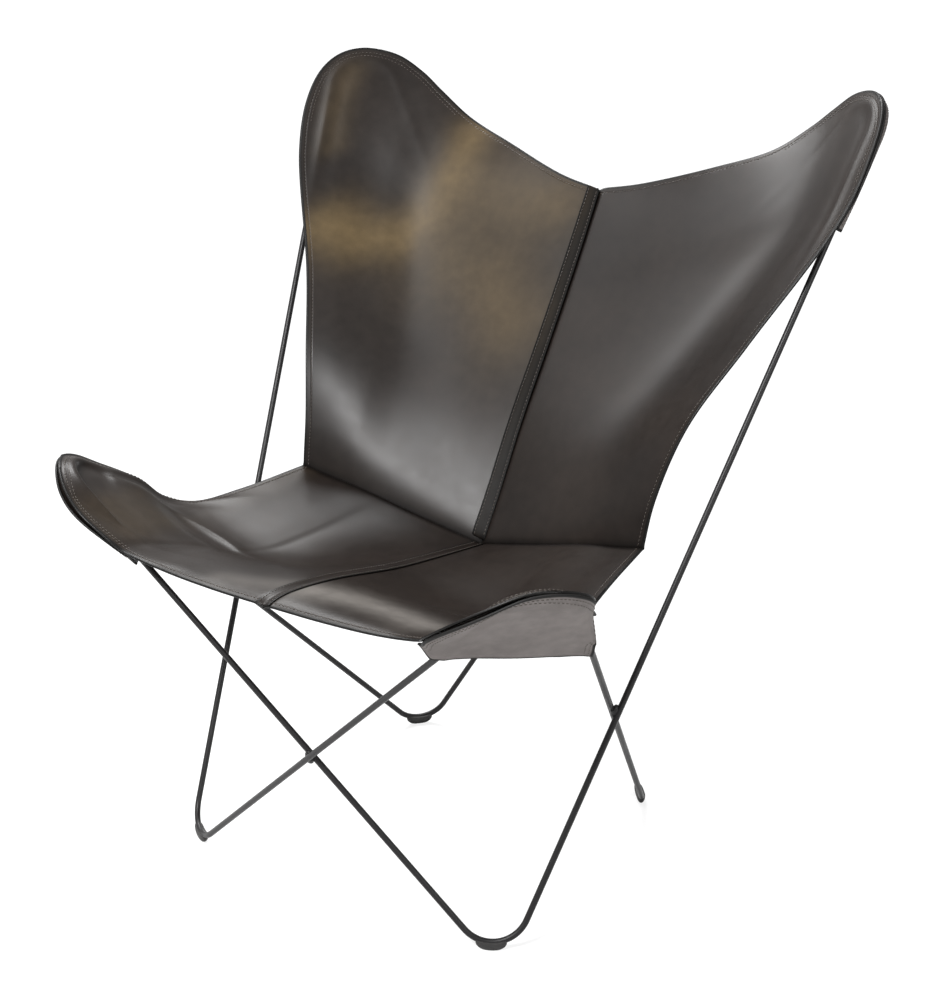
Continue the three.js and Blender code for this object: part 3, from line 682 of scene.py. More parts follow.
def sheetSolid(middle, normals, thickness, edgeSteps=6, inset=None, values=None):
    # two copies of the middle surface half a thickness apart, joined by a half round edge all the way round;
    # the values are spread over both copies and the edge, and the back faces take the second material
    rows, columns = middle.shape[:2]
    middle = middle.copy()
    borderRow, borderColumn = borderIndex(rows, columns)
    border = middle[borderRow, borderColumn]
    borderNormal = normals[borderRow, borderColumn]
    tangent = unit(np.roll(border, -1, 0) - np.roll(border, 1, 0))
    outward = unit(np.cross(tangent, borderNormal))
    if ((border - middle.reshape(-1, 3).mean(0)) * outward).sum() < 0:
        outward = -outward
    inset = np.full(len(border), thickness / 2) if inset is None else inset[borderRow, borderColumn]
    border = border - outward * inset[:, None]
    middle[borderRow, borderColumn] = border
    top = middle + normals * thickness / 2
    bottom = middle - normals * thickness / 2
    angle = math.pi * np.arange(1, edgeSteps) / edgeSteps
    edge = border + thickness / 2 * (
        np.cos(angle)[:, None, None] * borderNormal + np.sin(angle)[:, None, None] * outward
    )
    count, size, loop = rows * columns, len(border), borderRow * columns + borderColumn
    points = np.concatenate([top.reshape(-1, 3), bottom.reshape(-1, 3), edge.reshape(-1, 3)])
    arc = 2 * count + np.arange((edgeSteps - 1) * size).reshape(-1, size)
    rings = np.concatenate([loop[None], arc, count + loop[None]])
    following = np.roll(rings, -1, 1)
    strip = np.stack([rings[:-1], rings[1:], following[1:], following[:-1]], -1).reshape(-1, 4)
    topFaces = gridFaces(rows, columns)
    bottomFaces = gridFaces(rows, columns, start=count)[:, ::-1]
    # the faces point out where the top's normals agree with the given ones
    a, b, c, d = (points[topFaces[:, k]] for k in range(4))
    agrees = (np.cross(c - a, d - b) * normals[:-1, :-1].reshape(-1, 3)).sum() > 0
    quads = np.concatenate([topFaces, bottomFaces])
    quads = quads if agrees else quads[:, ::-1]
    p, q, r, s = (points[strip[:, k]] for k in range(4))
    outwardOfStrip = np.tile(outward, (edgeSteps, 1))
    strip = strip if (np.cross(r - p, s - q) * outwardOfStrip).sum() > 0 else strip[:, ::-1]
    spread = {
        key: np.concatenate([grid.ravel(), grid.ravel(), np.tile(grid.ravel()[loop], edgeSteps - 1)])
        for key, grid in (values or {}).items()
    }
    finishes = np.concatenate([np.zeros(len(topFaces)), np.ones(len(bottomFaces)), np.zeros(len(strip))])
    quads = np.concatenate([quads, strip])
    return {"points": points * mm, "quads": quads, "values": spread, "finishes": finishes}


def towardSitter(normals):
    return -normals if (normals @ sitterSide).mean() < 0 else normals


paintedReflectionMarks = {
    # a painted warm reflection: a line of x and z in mm, how far it spreads and how strong it is
    "slingBackLeft": [
        ([(-330, 697), (-290, 680), (-248, 679), (-226, 715), (-214, 760), (-212, 800)], 30, 0.74),
        ([(-190, 745), (-103, 735), (-45, 735)], 42, 0.42),
        ([(-170, 660), (-110, 640), (-60, 600)], 55, 0.4),
        ([(-375, 880), (-374, 840), (-364, 790)], 16, 0.25),
    ],
    "slingSeatLeft": [([(-280, 456), (-245, 428)], 20, 0.14)],
}


paintedHighlightMarks = {
    # a painted highlight on the seat's front edge: the same, with lines of x and y
    "slingSeatLeft": [([(-80, -290), (0, -262)], 26, 0.24)],
    "slingSeatRight": [([(10, -262), (60, -240), (120, -236), (170, -252)], 30, 0.6)],
}


def marksAt(marks, flat):
    # marks fade as a gaussian of the distance from their line; overlapping ones don't add past full strength
    left = np.ones(flat.shape[:2])
    for line, reach, strength in marks:
        away, _ = nearest(flat, np.array(line, float))
        left = left * (1 - strength * gaussian(away, reach))
    return 1 - left


def shapeOf(half, isBack, side):
    # the patch, then the rolls beside its seams (slope x distance x exp(-distance / reach)), the fold of the
    # seat and the dip at the centre seam
    share = np.linspace(0, 1, sling["gridSteps"] + 1)
    toCross, toSeam = np.meshgrid(share, share, indexing="ij")
    middle = panelMiddle(half, toSeam, toCross)
    fromRim, _ = nearest(middle, np.concatenate([middle[::-1, 0], middle[0, 1:]]))
    fromCross, _ = nearest(middle, middle[-1])
    fromSeam, _ = nearest(middle, middle[:, -1])
    outward = np.abs(middle[..., 0])
    if isBack:
        roll = sling["crossRoll"]
        reach = roll["reach"] + roll["growth"] * outward
        hold = roll["sideShare"] + (1 - roll["sideShare"]) * smoothStep(toSeam / roll["sideFade"])
        rise = roll["slope"] * fromCross * np.exp(-fromCross / reach) * hold
    else:
        roll = sling["frontRoll"]
        hold = smoothStep((roll["widths"][0] - outward) / (roll["widths"][0] - roll["widths"][1]))
        rise = roll["slope"] * fromRim * np.exp(-fromRim / roll["reach"]) * hold
        fold = np.array(sling["fold"], float) * [side, 1]
        away, place = nearest(middle[..., :2], splineThrough(fold)["points"])
        start, end = sling["foldFadeShares"]
        strength = smoothStep(place / start) * smoothStep((1 - place) / end)
        crease = np.exp(-np.hypot(away, sling["foldTop"]) / sling["foldWidth"])
        rise = rise + sling["foldHeight"] * strength * crease
    # the back's left panel laps over the right one, which is drawn down; at the junction all four edges meet
    own = sling["seamDip"] * (sling["lappedShare"] if isBack and side < 0 else 1)
    toOwn = smoothStep(fromCross / sling["junctionReach"])
    depth = sling["junctionDip"] + (own - sling["junctionDip"]) * toOwn
    dip = depth * gaussian(fromSeam, sling["seamDipWidth"])
    half["away"] = {"rim": fromRim, "cross": fromCross, "seam": fromSeam}
    return middle + sitterSide * (rise - dip)[..., None]


def addPanel(name, half, isBack, side, node):
    middle = shapeOf(half, isBack, side)
    normals = towardSitter(gridNormals(middle))
    inset = np.full(middle.shape[:2], sling["thickness"] / 2)
    inset[:, -1] = inset[-1] = sling["thickness"] / 2 - sling["seamLap"]
    away = half["away"]
    # fromSeam sets the painted shade beside the seams, and the marks set the painted warm reflection and the
    # painted highlight
    values = {
        "fromEdge": away["rim"], "fromSeam": np.minimum(away["seam"], away["cross"]),
        "paintedReflection": marksAt(paintedReflectionMarks.get(name, []), middle[..., [0, 2]]),
        "paintedHighlight": marksAt(paintedHighlightMarks.get(name, []), middle[..., :2]),
    }
    made = makeObject(name, **sheetSolid(middle, normals, sling["thickness"], inset=inset, values=values))
    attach(made, "root")
    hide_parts(node)
    half["middle"], half["normals"] = middle, normals
    return made


panels = {}
for place, side in (("right", 1), ("left", -1)):
    for which, isBack in (("back", True), ("seat", False)):
        name = f"sling{which.capitalize()}{place.capitalize()}"
        half = halves[place]["back" if isBack else "front"]
        panels[name] = addPanel(name, half, isBack, side, f"sling_{which}_{place}")
print("sling panels made")


# pockets: the under layer of each tip, sewn to the panel round the rim and open toward the chair's middle

pockets = {
    "rimSteps": 150,
    "mouthSteps": 44,
    "edgeGap": 0.35,
    "leastClimb": 11.25,  # past the rod's centre line; nearer, the edge can't come down to its underside
    "crowding": 1.4,  # how much closer the lines lie at the rim than at the mouth
    "tuckShare": 0.16,  # of the rim, over which each of its ends is tucked in
    "tuckDrop": 0.2,  # of the tuck
    "ridge": (0.9, 6.0),  # how far the rod shows through from below and how wide
    "hollow": (1.0, 30.0, 26.0),  # how far the leather is drawn up inside the bend, where and how wide
    "splayShares": (0.05, 0.55),  # of the rim, between which the two layers stand apart
    "clearOfSeam": 30.0,  # a distance at which none of the painted shade beside a seam shows
    "rimSearch": 0.001,  # of the rim, in which the mouth's corners are looked for
    # each side's numbers are those of its inner and its outer end
    "front": {
        "mouth": (60.0, 86.0),  # how far below the bend's centre the mouth lies
        "inset": {"right": (14.0, 36.0), "left": (22.0, 36.0)},  # how far the mouth's corners are drawn in
        "tuck": {"right": (2.0, 11.0), "left": (11.0, 11.0)},  # how far the sewn rim goes in under the panel
        "drop": 18.0,  # how much farther down the mouth's inner corner hangs
        "splay": 3.4,  # how far the two layers stand apart beside the inner edge
    },
    "back": {
        "mouth": (48.0, 96.0),
        "inset": {"right": (8.0, 34.0), "left": (8.0, 34.0)},
        "tuck": {"right": (11.0, 11.0), "left": (11.0, 11.0)},
        "drop": 0.0,
        "splay": 0.0,
    },
}


def rimShareAt(half, direction, depth):
    # the place on the rim, one way or the other from the tip, that lies this far below the bend's centre
    share = half["rim"]["tipShare"]
    while toPeak(half["peak"], along(half["rim"], np.array(share)))[0] > -depth:
        share += direction * pockets["rimSearch"]
    return share


def pocketMiddle(half, shape, place):
    # each line runs from a point of the rim to the mouth, and drops from the panel's edge to under the rod:
    # its height is the underside's plus (edge - underside) x smoothStep of how far it is past the rod
    mouth, insets, tuck = shape["mouth"], shape["inset"][place], shape["tuck"][place]
    start, end = rimShareAt(half, -1, mouth[0]), rimShareAt(half, 1, mouth[1])
    rimShare = np.linspace(0, 1, pockets["rimSteps"] + 1)
    rim = toPeak(half["peak"], along(half["rim"], start + (end - start) * rimShare))
    atStart = smoothStep(1 - rimShare / pockets["tuckShare"])
    atEnd = smoothStep(1 - (1 - rimShare) / pockets["tuckShare"])
    tucked = tuck[0] * atStart + tuck[1] * atEnd
    rim[:, 1] -= np.sign(rim[:, 1]) * tucked
    rim[:, 2] -= pockets["tuckDrop"] * tucked
    inward = np.linspace(0, 1, pockets["mouthSteps"] + 1) ** pockets["crowding"]
    mouthOut = (rim[0, 0] - shape["drop"]) * (1 - rimShare) + rim[-1, 0] * rimShare
    inset = np.sign(rim[0, 1]) * (insets[0] * (1 - rimShare) - insets[1] * rimShare)
    mouthAcross = rim[0, 1] + (rim[-1, 1] - rim[0, 1]) * rimShare - inset
    out = rim[:, 0, None] + (mouthOut - rim[:, 0])[:, None] * inward
    across = rim[:, 1, None] + (mouthAcross - rim[:, 1])[:, None] * inward
    first, last = pockets["splayShares"]
    apart = np.sin(math.pi * np.clip((rimShare - first) / (last - first), 0, 1)) ** 2
    gap = pockets["edgeGap"] + shape["splay"] * apart
    edgeUp = rim[:, 2] - sling["thickness"] / 2 - gap - sling["pocketThickness"] / 2
    edgeBeyond = np.maximum(beyondRod(half["peak"], rim[:, 0], rim[:, 1]), pockets["leastClimb"])
    beyond = beyondRod(half["peak"], out, across)
    climb = smoothStep((beyond - rodFrame["rod"]) / (edgeBeyond[:, None] - rodFrame["rod"]))
    up = -pocketLift + (edgeUp[:, None] + pocketLift) * climb
    # the rod shows through the pocket as a low ridge, with a hollow inside the bend
    height, width = pockets["ridge"]
    depth, inside, reach = pockets["hollow"]
    up = up - height * gaussian(beyond, width) + depth * gaussian(np.minimum(beyond, 0) + inside, reach)
    return fromPeak(half["peak"], np.stack([out, across, up], -1))


def addPocket(name, half, which, place, node):
    middle = pocketMiddle(half, pockets[which], place)
    normals = gridNormals(middle)
    if (normals @ half["peak"]["axes"][2]).mean() > 0:
        normals = -normals
    border = np.concatenate([middle[:, 0], middle[-1, 1:], middle[::-1, -1], middle[0, ::-1]])
    fromEdge, _ = nearest(middle, border)
    fromRim, _ = nearest(middle, middle[:, 0])
    values = {"fromEdge": fromEdge, "fromSeam": np.full(fromEdge.shape, pockets["clearOfSeam"])}
    made = makeObject(name, **sheetSolid(middle, normals, sling["pocketThickness"], values=values))
    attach(made, "root")
    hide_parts(node)
    half["pocket"] = {"middle": middle, "normals": normals, "fromRim": fromRim}
    return made


pocketPieces = {}
for place in ("right", "left"):
    for which in ("back", "front"):
        name = f"pocket{which.capitalize()}{place.capitalize()}"
        pocketPieces[name] = addPocket(name, halves[place][which], which, place, f"pocket_{which}_{place}")
print("pockets made")


# strips lapped over the centre seam: the back's stands over the right panel, the seat's lies astride its seam

seamBands = {
    "backReach": (13.5, 4.0),  # left and right of the seam
    "backThickness": 2.6,
    "seatReach": (10.0, 10.0),
    "seatThickness": 1.5,
    "endShares": (0.004, 0.985),  # of the seam, between which a strip runs
    "rows": 170,
    "columns": 14,
    "proud": 0.2,
    "edgeRounding": 0.4,
    "straightFrom": (2.0, 8.0),  # places on the left panel that give the back strip its way past the seam
    "waxedEdge": 1.5,  # the strips' painted edge is narrower than the panels' by this much
    "clearOfEdge": 6.0,  # past the edge paint, and short of the groove for the panels' thread
    "leastColumns": 4,  # past the seam
    "paintedReflectionShare": 0.6,
}


def bandLines(which, thickness, leftReach, rightReach):
    # across each row the strip follows the left panel out to its reach. On the back it carries straight on
    # over the seam, and on the seat it follows the right panel.
    left, right = halves["left"][which], halves["right"][which]
    steps = sling["gridSteps"]
    lift = sling["thickness"] / 2 + thickness / 2 + seamBands["proud"]
    rows = np.linspace(*seamBands["endShares"], seamBands["rows"] + 1) * steps
    low = np.minimum(rows.astype(int), steps - 1)
    part = (rows - low)[:, None, None]
    # the panels' own rows between two of their grid's, from the seam outward
    cut = lambda grid: (grid[low] * (1 - part) + grid[low + 1] * part)[:, ::-1]
    leftAt = np.linspace(leftReach, 0, seamBands["columns"] + 1)
    count = max(seamBands["leastColumns"], int(seamBands["columns"] * rightReach / leftReach))
    rightAt = np.linspace(0, rightReach, count + 1)[1:]
    lines = []
    for line, other in zip(cut(left["middle"]), cut(right["middle"])):
        near, far = alongLine(line, np.array(seamBands["straightFrom"]))
        onward = line[0] + unit(near - far) * rightAt[:, None]
        past = alongLine(other, rightAt) if which == "front" else onward
        lines.append(np.concatenate([alongLine(line, leftAt), past]))
    middle = np.array(lines)
    middle = middle + towardSitter(gridNormals(middle)) * lift
    return middle, towardSitter(gridNormals(middle))


def addBand(name, which, thickness, reach, node):
    middle, normals = bandLines(which, thickness, *reach)
    fromLeft, _ = nearest(middle, middle[:, 0])
    fromRight, _ = nearest(middle, middle[:, -1])
    away = np.minimum(fromLeft, fromRight) + seamBands["waxedEdge"]
    # fromSeam puts the painted shade along the strip's right edge
    values = {"fromEdge": np.minimum(away, seamBands["clearOfEdge"]), "fromSeam": fromRight}
    # the left panel's painted warm reflection carries on over the back strip
    if which == "back":
        marks = marksAt(paintedReflectionMarks["slingBackLeft"], middle[..., [0, 2]])
        values["paintedReflection"] = marks * seamBands["paintedReflectionShare"]
    inset = np.full(middle.shape[:2], seamBands["edgeRounding"])
    made = makeObject(name, **sheetSolid(middle, normals, thickness, inset=inset, values=values))
    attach(made, "root")
    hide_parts(node)
    return {"piece": made, "middle": middle, "normals": normals, "thickness": thickness}


backBand = addBand(
    "seamBandBack", "back", seamBands["backThickness"], seamBands["backReach"], "band_back_seam",
)
seatBand = addBand(
    "seamBandSeat", "front", seamBands["seatThickness"], seamBands["seatReach"], "band_seat_seam",
)
print("seam bands made")


# stitching in waxed thread, sewn through from face to face

stitching = {
    "rimInset": 8.0,  # mm inside the sling's rim
    "secondInset": 12.5,  # a second row where the pocket is sewn on
    "pocketShortfall": 2.0,  # the pocket's edge lies this far inside the panel's
    "bandInset": 2.6,
    "pitch": 4.8,
    "length": 3.7,
    "thread": 0.42,  # radius
    "rise": (0.25, 0.75),  # how far its middle stands up and its ends go down from there, in thread widths
    "narrowing": 0.35,  # at the ends
    "rings": 5,
    "sides": 6,
}


def insetRow(grid, normals, fromBorder, inset):
    # the line on which the distance from the border reaches the inset: found along the rows that start at one
    # side of the tip, then along the columns that start at the other, each as far as the tip's diagonal
    parts = []
    for points, facing, table, backward in (
        (grid.transpose(1, 0, 2), normals.transpose(1, 0, 2), fromBorder.T, True),
        (grid, normals, fromBorder, False),
    ):
        reached = table > inset
        first = reached.argmax(0)
        index = np.nonzero(reached.any(0) & (first > 0) & (first < np.arange(len(first))))[0]
        low = first[index] - 1
        part = ((inset - table[low, index]) / (table[low + 1, index] - table[low, index]))[:, None]
        line = np.concatenate([
            points[low, index] * (1 - part) + points[low + 1, index] * part,
            facing[low, index] * (1 - part) + facing[low + 1, index] * part,
        ], axis=1)
        parts.append(line[::-1] if backward else line)
    return np.concatenate(parts)


def stitchesAlong(line, faces):
    # one small bent tube for each stitch: level along its middle and turned down into the leather at its
    # ends, on each of the sheet's faces, given as the height above its middle and which way is up
    reached = np.concatenate([[0], np.cumsum(np.linalg.norm(np.diff(line[:, :3], axis=0), axis=1))])
    places = np.arange(stitching["pitch"], reached[-1] - stitching["pitch"] / 2, stitching["pitch"])
    at = np.stack([np.interp(places, reached, line[:, k]) for k in range(6)], -1)
    ahead = np.stack([np.interp(places + 1, reached, line[:, k]) for k in range(3)], -1) - at[:, :3]
    facing = unit(at[:, 3:])
    ahead = unit(ahead - facing * (ahead * facing).sum(-1, keepdims=True))
    across = np.cross(ahead, facing)
    reach = np.linspace(-1, 1, stitching["rings"])
    turn = np.linspace(0, 2 * math.pi, stitching["sides"], endpoint=False)
    # the middle line's height is rise - drop x reach^4, in thread widths
    middleRise, endDrop = stitching["rise"]
    height = (middleRise - endDrop * np.abs(reach) ** 4)[:, None] * stitching["thread"] * 2
    radius = (1 - stitching["narrowing"] * np.abs(reach) ** 4)[:, None] * stitching["thread"]
    lengthwise = np.repeat(reach[:, None] * stitching["length"] / 2, len(turn), 1)
    sideways = radius * np.cos(turn)
    upward = height + radius * np.sin(turn)
    pieces = []
    for lift, up in faces:
        points = (
            (at[:, :3] + facing * lift * up)[:, None, None]
            + ahead[:, None, None] * lengthwise[None, ..., None]
            + across[:, None, None] * sideways[None, ..., None]
            + facing[:, None, None] * up * upward[None, ..., None]
        )
        ends = points[:, [0, -1]].mean(2)
        pieces.append(np.concatenate([points.reshape(len(points), -1, 3), ends], axis=1))
    return np.concatenate(pieces)


def addStitches(name, stitches):
    # every stitch has the same faces: a tube of quads and a fan of triangles at each end
    rings, sides = stitching["rings"], stitching["sides"]
    each = rings * sides + 2
    quads = gridFaces(rings, sides, closed=True)
    triangles = endFans(rings, sides, each - 2, each - 1)
    # each stitch is turned the right way out by the sign of its own volume
    a, b, c, d = (stitches[:, quads[:, k]] for k in range(4))
    volume = (np.cross(a, b) * c).sum((1, 2)) + (np.cross(a, c) * d).sum((1, 2))
    start = (np.arange(len(stitches)) * each)[:, None, None]
    allQuads = np.where(volume[:, None, None] > 0, quads, quads[:, ::-1]) + start
    allTriangles = np.where(volume[:, None, None] > 0, triangles, triangles[:, ::-1]) + start
    points = stitches.reshape(-1, 3) * mm
    made = makeObject(name, points, allQuads.reshape(-1, 4), allTriangles.reshape(-1, 3))
    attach(made, "root")
    return made


def rowOn(grid, normals, table, inset):
    # the line at a distance from the rim, found along each line of the grid that starts at the rim
    reached = (table > inset).argmax(1)
    # the row leaves out two lines at both ends
    index = np.nonzero(reached > 0)[0][2:-2]
    low = reached[index] - 1
    part = ((inset - table[index, low]) / (table[index, low + 1] - table[index, low]))[:, None]
    between = lambda values: values[index, low] * (1 - part) + values[index, low + 1] * part
    return np.concatenate([between(grid), between(normals)], axis=1)


stitchPieces = {}
for place in ("right", "left"):
    for which, title in (("back", "Back"), ("front", "Seat")):
        half = halves[place][which]
        panel = half["middle"], half["normals"], half["away"]["rim"]
        above, below = (sling["thickness"] / 2, 1), (sling["thickness"] / 2, -1)
        rows = [stitchesAlong(insetRow(*panel, stitching["rimInset"]), [above, below])]
        # the second row holds the pocket, and ends where the pocket does
        second = insetRow(*panel, stitching["secondInset"])
        mouth = min(pockets[which]["mouth"])
        second = second[toPeak(half["peak"], second[:, :3])[:, 0] > -mouth]
        rows.append(stitchesAlong(second, [above]))
        name = f"rimStitching{title}{place.capitalize()}"
        stitchPieces[name] = addStitches(name, np.concatenate(rows))
        pocket = half["pocket"]
        sewn = []
        for inset in (stitching["rimInset"], stitching["secondInset"]):
            inset = inset - stitching["pocketShortfall"]
            line = rowOn(pocket["middle"], pocket["normals"], pocket["fromRim"], inset)
            sewn.append(stitchesAlong(line, [(sling["pocketThickness"] / 2, 1)]))
        name = f"pocketStitching{which.capitalize()}{place.capitalize()}"
        stitchPieces[name] = addStitches(name, np.concatenate(sewn))

for name, band in (("bandStitchingBack", backBand), ("bandStitchingSeat", seatBand)):
    rows = []
    for edge in (0, -1):
        # the row keeps the same distance from the strip's edge
        columns = band["middle"][:, ::1 if edge == 0 else -1]
        facing = band["normals"][:, ::1 if edge == 0 else -1]
        line = np.array([
            np.concatenate([alongLine(c, [stitching["bandInset"]])[0], f[2]]) for c, f in zip(columns, facing)
        ])
        rows.append(stitchesAlong(line, [(band["thickness"] / 2, 1)]))
    stitchPieces[name] = addStitches(name, np.concatenate(rows))
print("stitching made")
# materials


def linear(colour):
    # sRGB hex to linear red, green, blue and alpha
    parts = [int(colour[i:i + 2], 16) / 255 for i in (1, 3, 5)]
    return tuple(p / 12.92 if p <= 0.04045 else ((p + 0.055) / 1.055) ** 2.4 for p in parts) + (1.0,)


def newMaterial(name):
    material = bpy.data.materials.new(name)
    material.use_nodes = True
    material.node_tree.nodes.clear()
    return material, material.node_tree


def node(tree, kind, inputs=None, **settings):
    # one node with its settings; each input is a socket that feeds it, a colour in sRGB hex or a plain value
    made = tree.nodes.new(kind)
    for key, value in settings.items():
        setattr(made, key, value)
    for key, value in (inputs or {}).items():
        if isinstance(value, bpy.types.NodeSocket):
            tree.links.new(value, made.inputs[key])
        else:
            made.inputs[key].default_value = linear(value) if isinstance(value, str) else value
    return made


def perMetre(size):
    # a pattern's scale counts how many of its cells, of this size in mm, go into a metre
    return 1000.0 / size


def stretch(before, after):
    # a map range's limits: what comes in and what goes out
    return {"From Min": before[0], "From Max": before[1], "To Min": after[0], "To Max": after[1]}


noiseRange = (0.3, 0.7)  # where nearly all of a noise texture's values lie


def steelMaterial():
    # satin black powder coat on steel rod: a fine orange peel breaks up its soft highlight, and a little dust
    # clouds its colour and gloss
    material, tree = newMaterial("powderCoatedSteel")
    place = node(tree, "ShaderNodeTexCoord").outputs["Object"]
    peel = node(tree, "ShaderNodeTexNoise", {"Vector": place, "Scale": perMetre(0.714), "Detail": 2.0})
    dust = node(tree, "ShaderNodeTexNoise", {"Vector": place, "Scale": perMetre(45.5), "Detail": 4.0})
    colour = node(tree, "ShaderNodeMix", {0: dust.outputs[0], 6: "#0f0e0f", 7: "#171617"}, data_type="RGBA")
    rough = node(tree, "ShaderNodeMapRange", {"Value": dust.outputs[0], **stretch(noiseRange, (0.34, 0.46))})
    bump = node(tree, "ShaderNodeBump", {"Height": peel.outputs[0], "Strength": 0.12, "Distance": 0.0001})
    shader = node(tree, "ShaderNodeBsdfPrincipled", {
        "Base Color": colour.outputs[2],
        "Roughness": rough.outputs[0],
        "Normal": bump.outputs[0],
        "IOR": 1.5,
        "Specular IOR Level": 0.25,
    })
    node(tree, "ShaderNodeOutputMaterial", {"Surface": shader.outputs[0]})
    return material


def rubberMaterial():
    # moulded black rubber: matt, with a faint grey bloom
    material, tree = newMaterial("blackRubber")
    place = node(tree, "ShaderNodeTexCoord").outputs["Object"]
    bloom = node(tree, "ShaderNodeTexNoise", {"Vector": place, "Scale": perMetre(8.33), "Detail": 3.0})
    colour = node(tree, "ShaderNodeMix", {0: bloom.outputs[0], 6: "#131212", 7: "#222120"}, data_type="RGBA")
    bump = node(tree, "ShaderNodeBump", {"Height": bloom.outputs[0], "Strength": 0.2, "Distance": 0.0002})
    shader = node(tree, "ShaderNodeBsdfPrincipled", {
        "Base Color": colour.outputs[2],
        "Normal": bump.outputs[0],
        "IOR": 1.52,
        "Roughness": 0.72,
    })
    node(tree, "ShaderNodeOutputMaterial", {"Surface": shader.outputs[0]})
    return material


def threadMaterial():
    # waxed polyester thread, dyed to match, with the fine ridges of its twisted plies
    material, tree = newMaterial("waxedThread")
    place = node(tree, "ShaderNodeTexCoord").outputs["Object"]
    ply = node(tree, "ShaderNodeTexNoise", {"Vector": place, "Scale": perMetre(0.667), "Detail": 2.0})
    colour = node(tree, "ShaderNodeMix", {0: ply.outputs[0], 6: "#2a2521", 7: "#463e37"}, data_type="RGBA")
    bump = node(tree, "ShaderNodeBump", {"Height": ply.outputs[0], "Strength": 0.3, "Distance": 0.0002})
    shader = node(tree, "ShaderNodeBsdfPrincipled", {
        "Base Color": colour.outputs[2],
        "Normal": bump.outputs[0],
        "IOR": 1.5,
        "Roughness": 0.5,
        "Specular IOR Level": 0.4,
    })
    node(tree, "ShaderNodeOutputMaterial", {"Surface": shader.outputs[0]})
    return material


leathers = {
    # the dye clouds from dark to mid, and the warm colour is a painted warm reflection; gloss is that of a
    # view straight on
    "saddleLeather": {"dark": "#171311", "mid": "#1f1a17", "paintedReflectionColour": "#54462f", "rough": 0.35, "gloss": 0.18},
    # the back strip's dark colours are painted shade on it
    "shadedSeamBandLeather": {"dark": "#100d0b", "mid": "#161310", "paintedReflectionColour": "#3d3222", "rough": 0.42, "gloss": 0.05},
    "fleshLeather": {"dark": "#5a5553", "mid": "#6a6563", "paintedReflectionColour": "#6a6563", "rough": 0.6, "gloss": 0.3},
}
leatherWork = {
    # cell sizes in mm and details of the dye's clouds, the grain's mottle and the hide's low swells
    "patterns": ((143.0, 3.0), (14.3, 3.0), (38.5, 1.5)),
    "dyeRange": (0.32, 0.68),  # of the clouds, over which the colour runs from dark to mid
    "streaks": (0.75, 1.15),  # how the clouds thin and strengthen the painted warm reflection
    "mottling": (0.88, 1.1),  # of the colour
    "roughening": (-0.01, 0.02),
    "relief": 0.0006,  # metres
    "reliefShare": 0.35,
    "grazing": (0.1, 0.65),  # how far the surface leans from the eye while its gloss goes
    "grazingGloss": 0.25,  # what is left of it
    "paintedHighlight": "#6e6a66",  # colour of the painted highlight on the seat's front edge
    "edgePaint": "#0c0b0a",
    "paintEnds": (3.0, 4.0),  # mm from the edge
    "creaseShade": 0.3,  # what is left of the colour under the painted shade in a seam's crease
    "creaseReach": 11.0,  # mm, over which the painted shade beside a seam fades
    "grooveReach": (0.2, 1.6),  # mm to either side of the thread
}


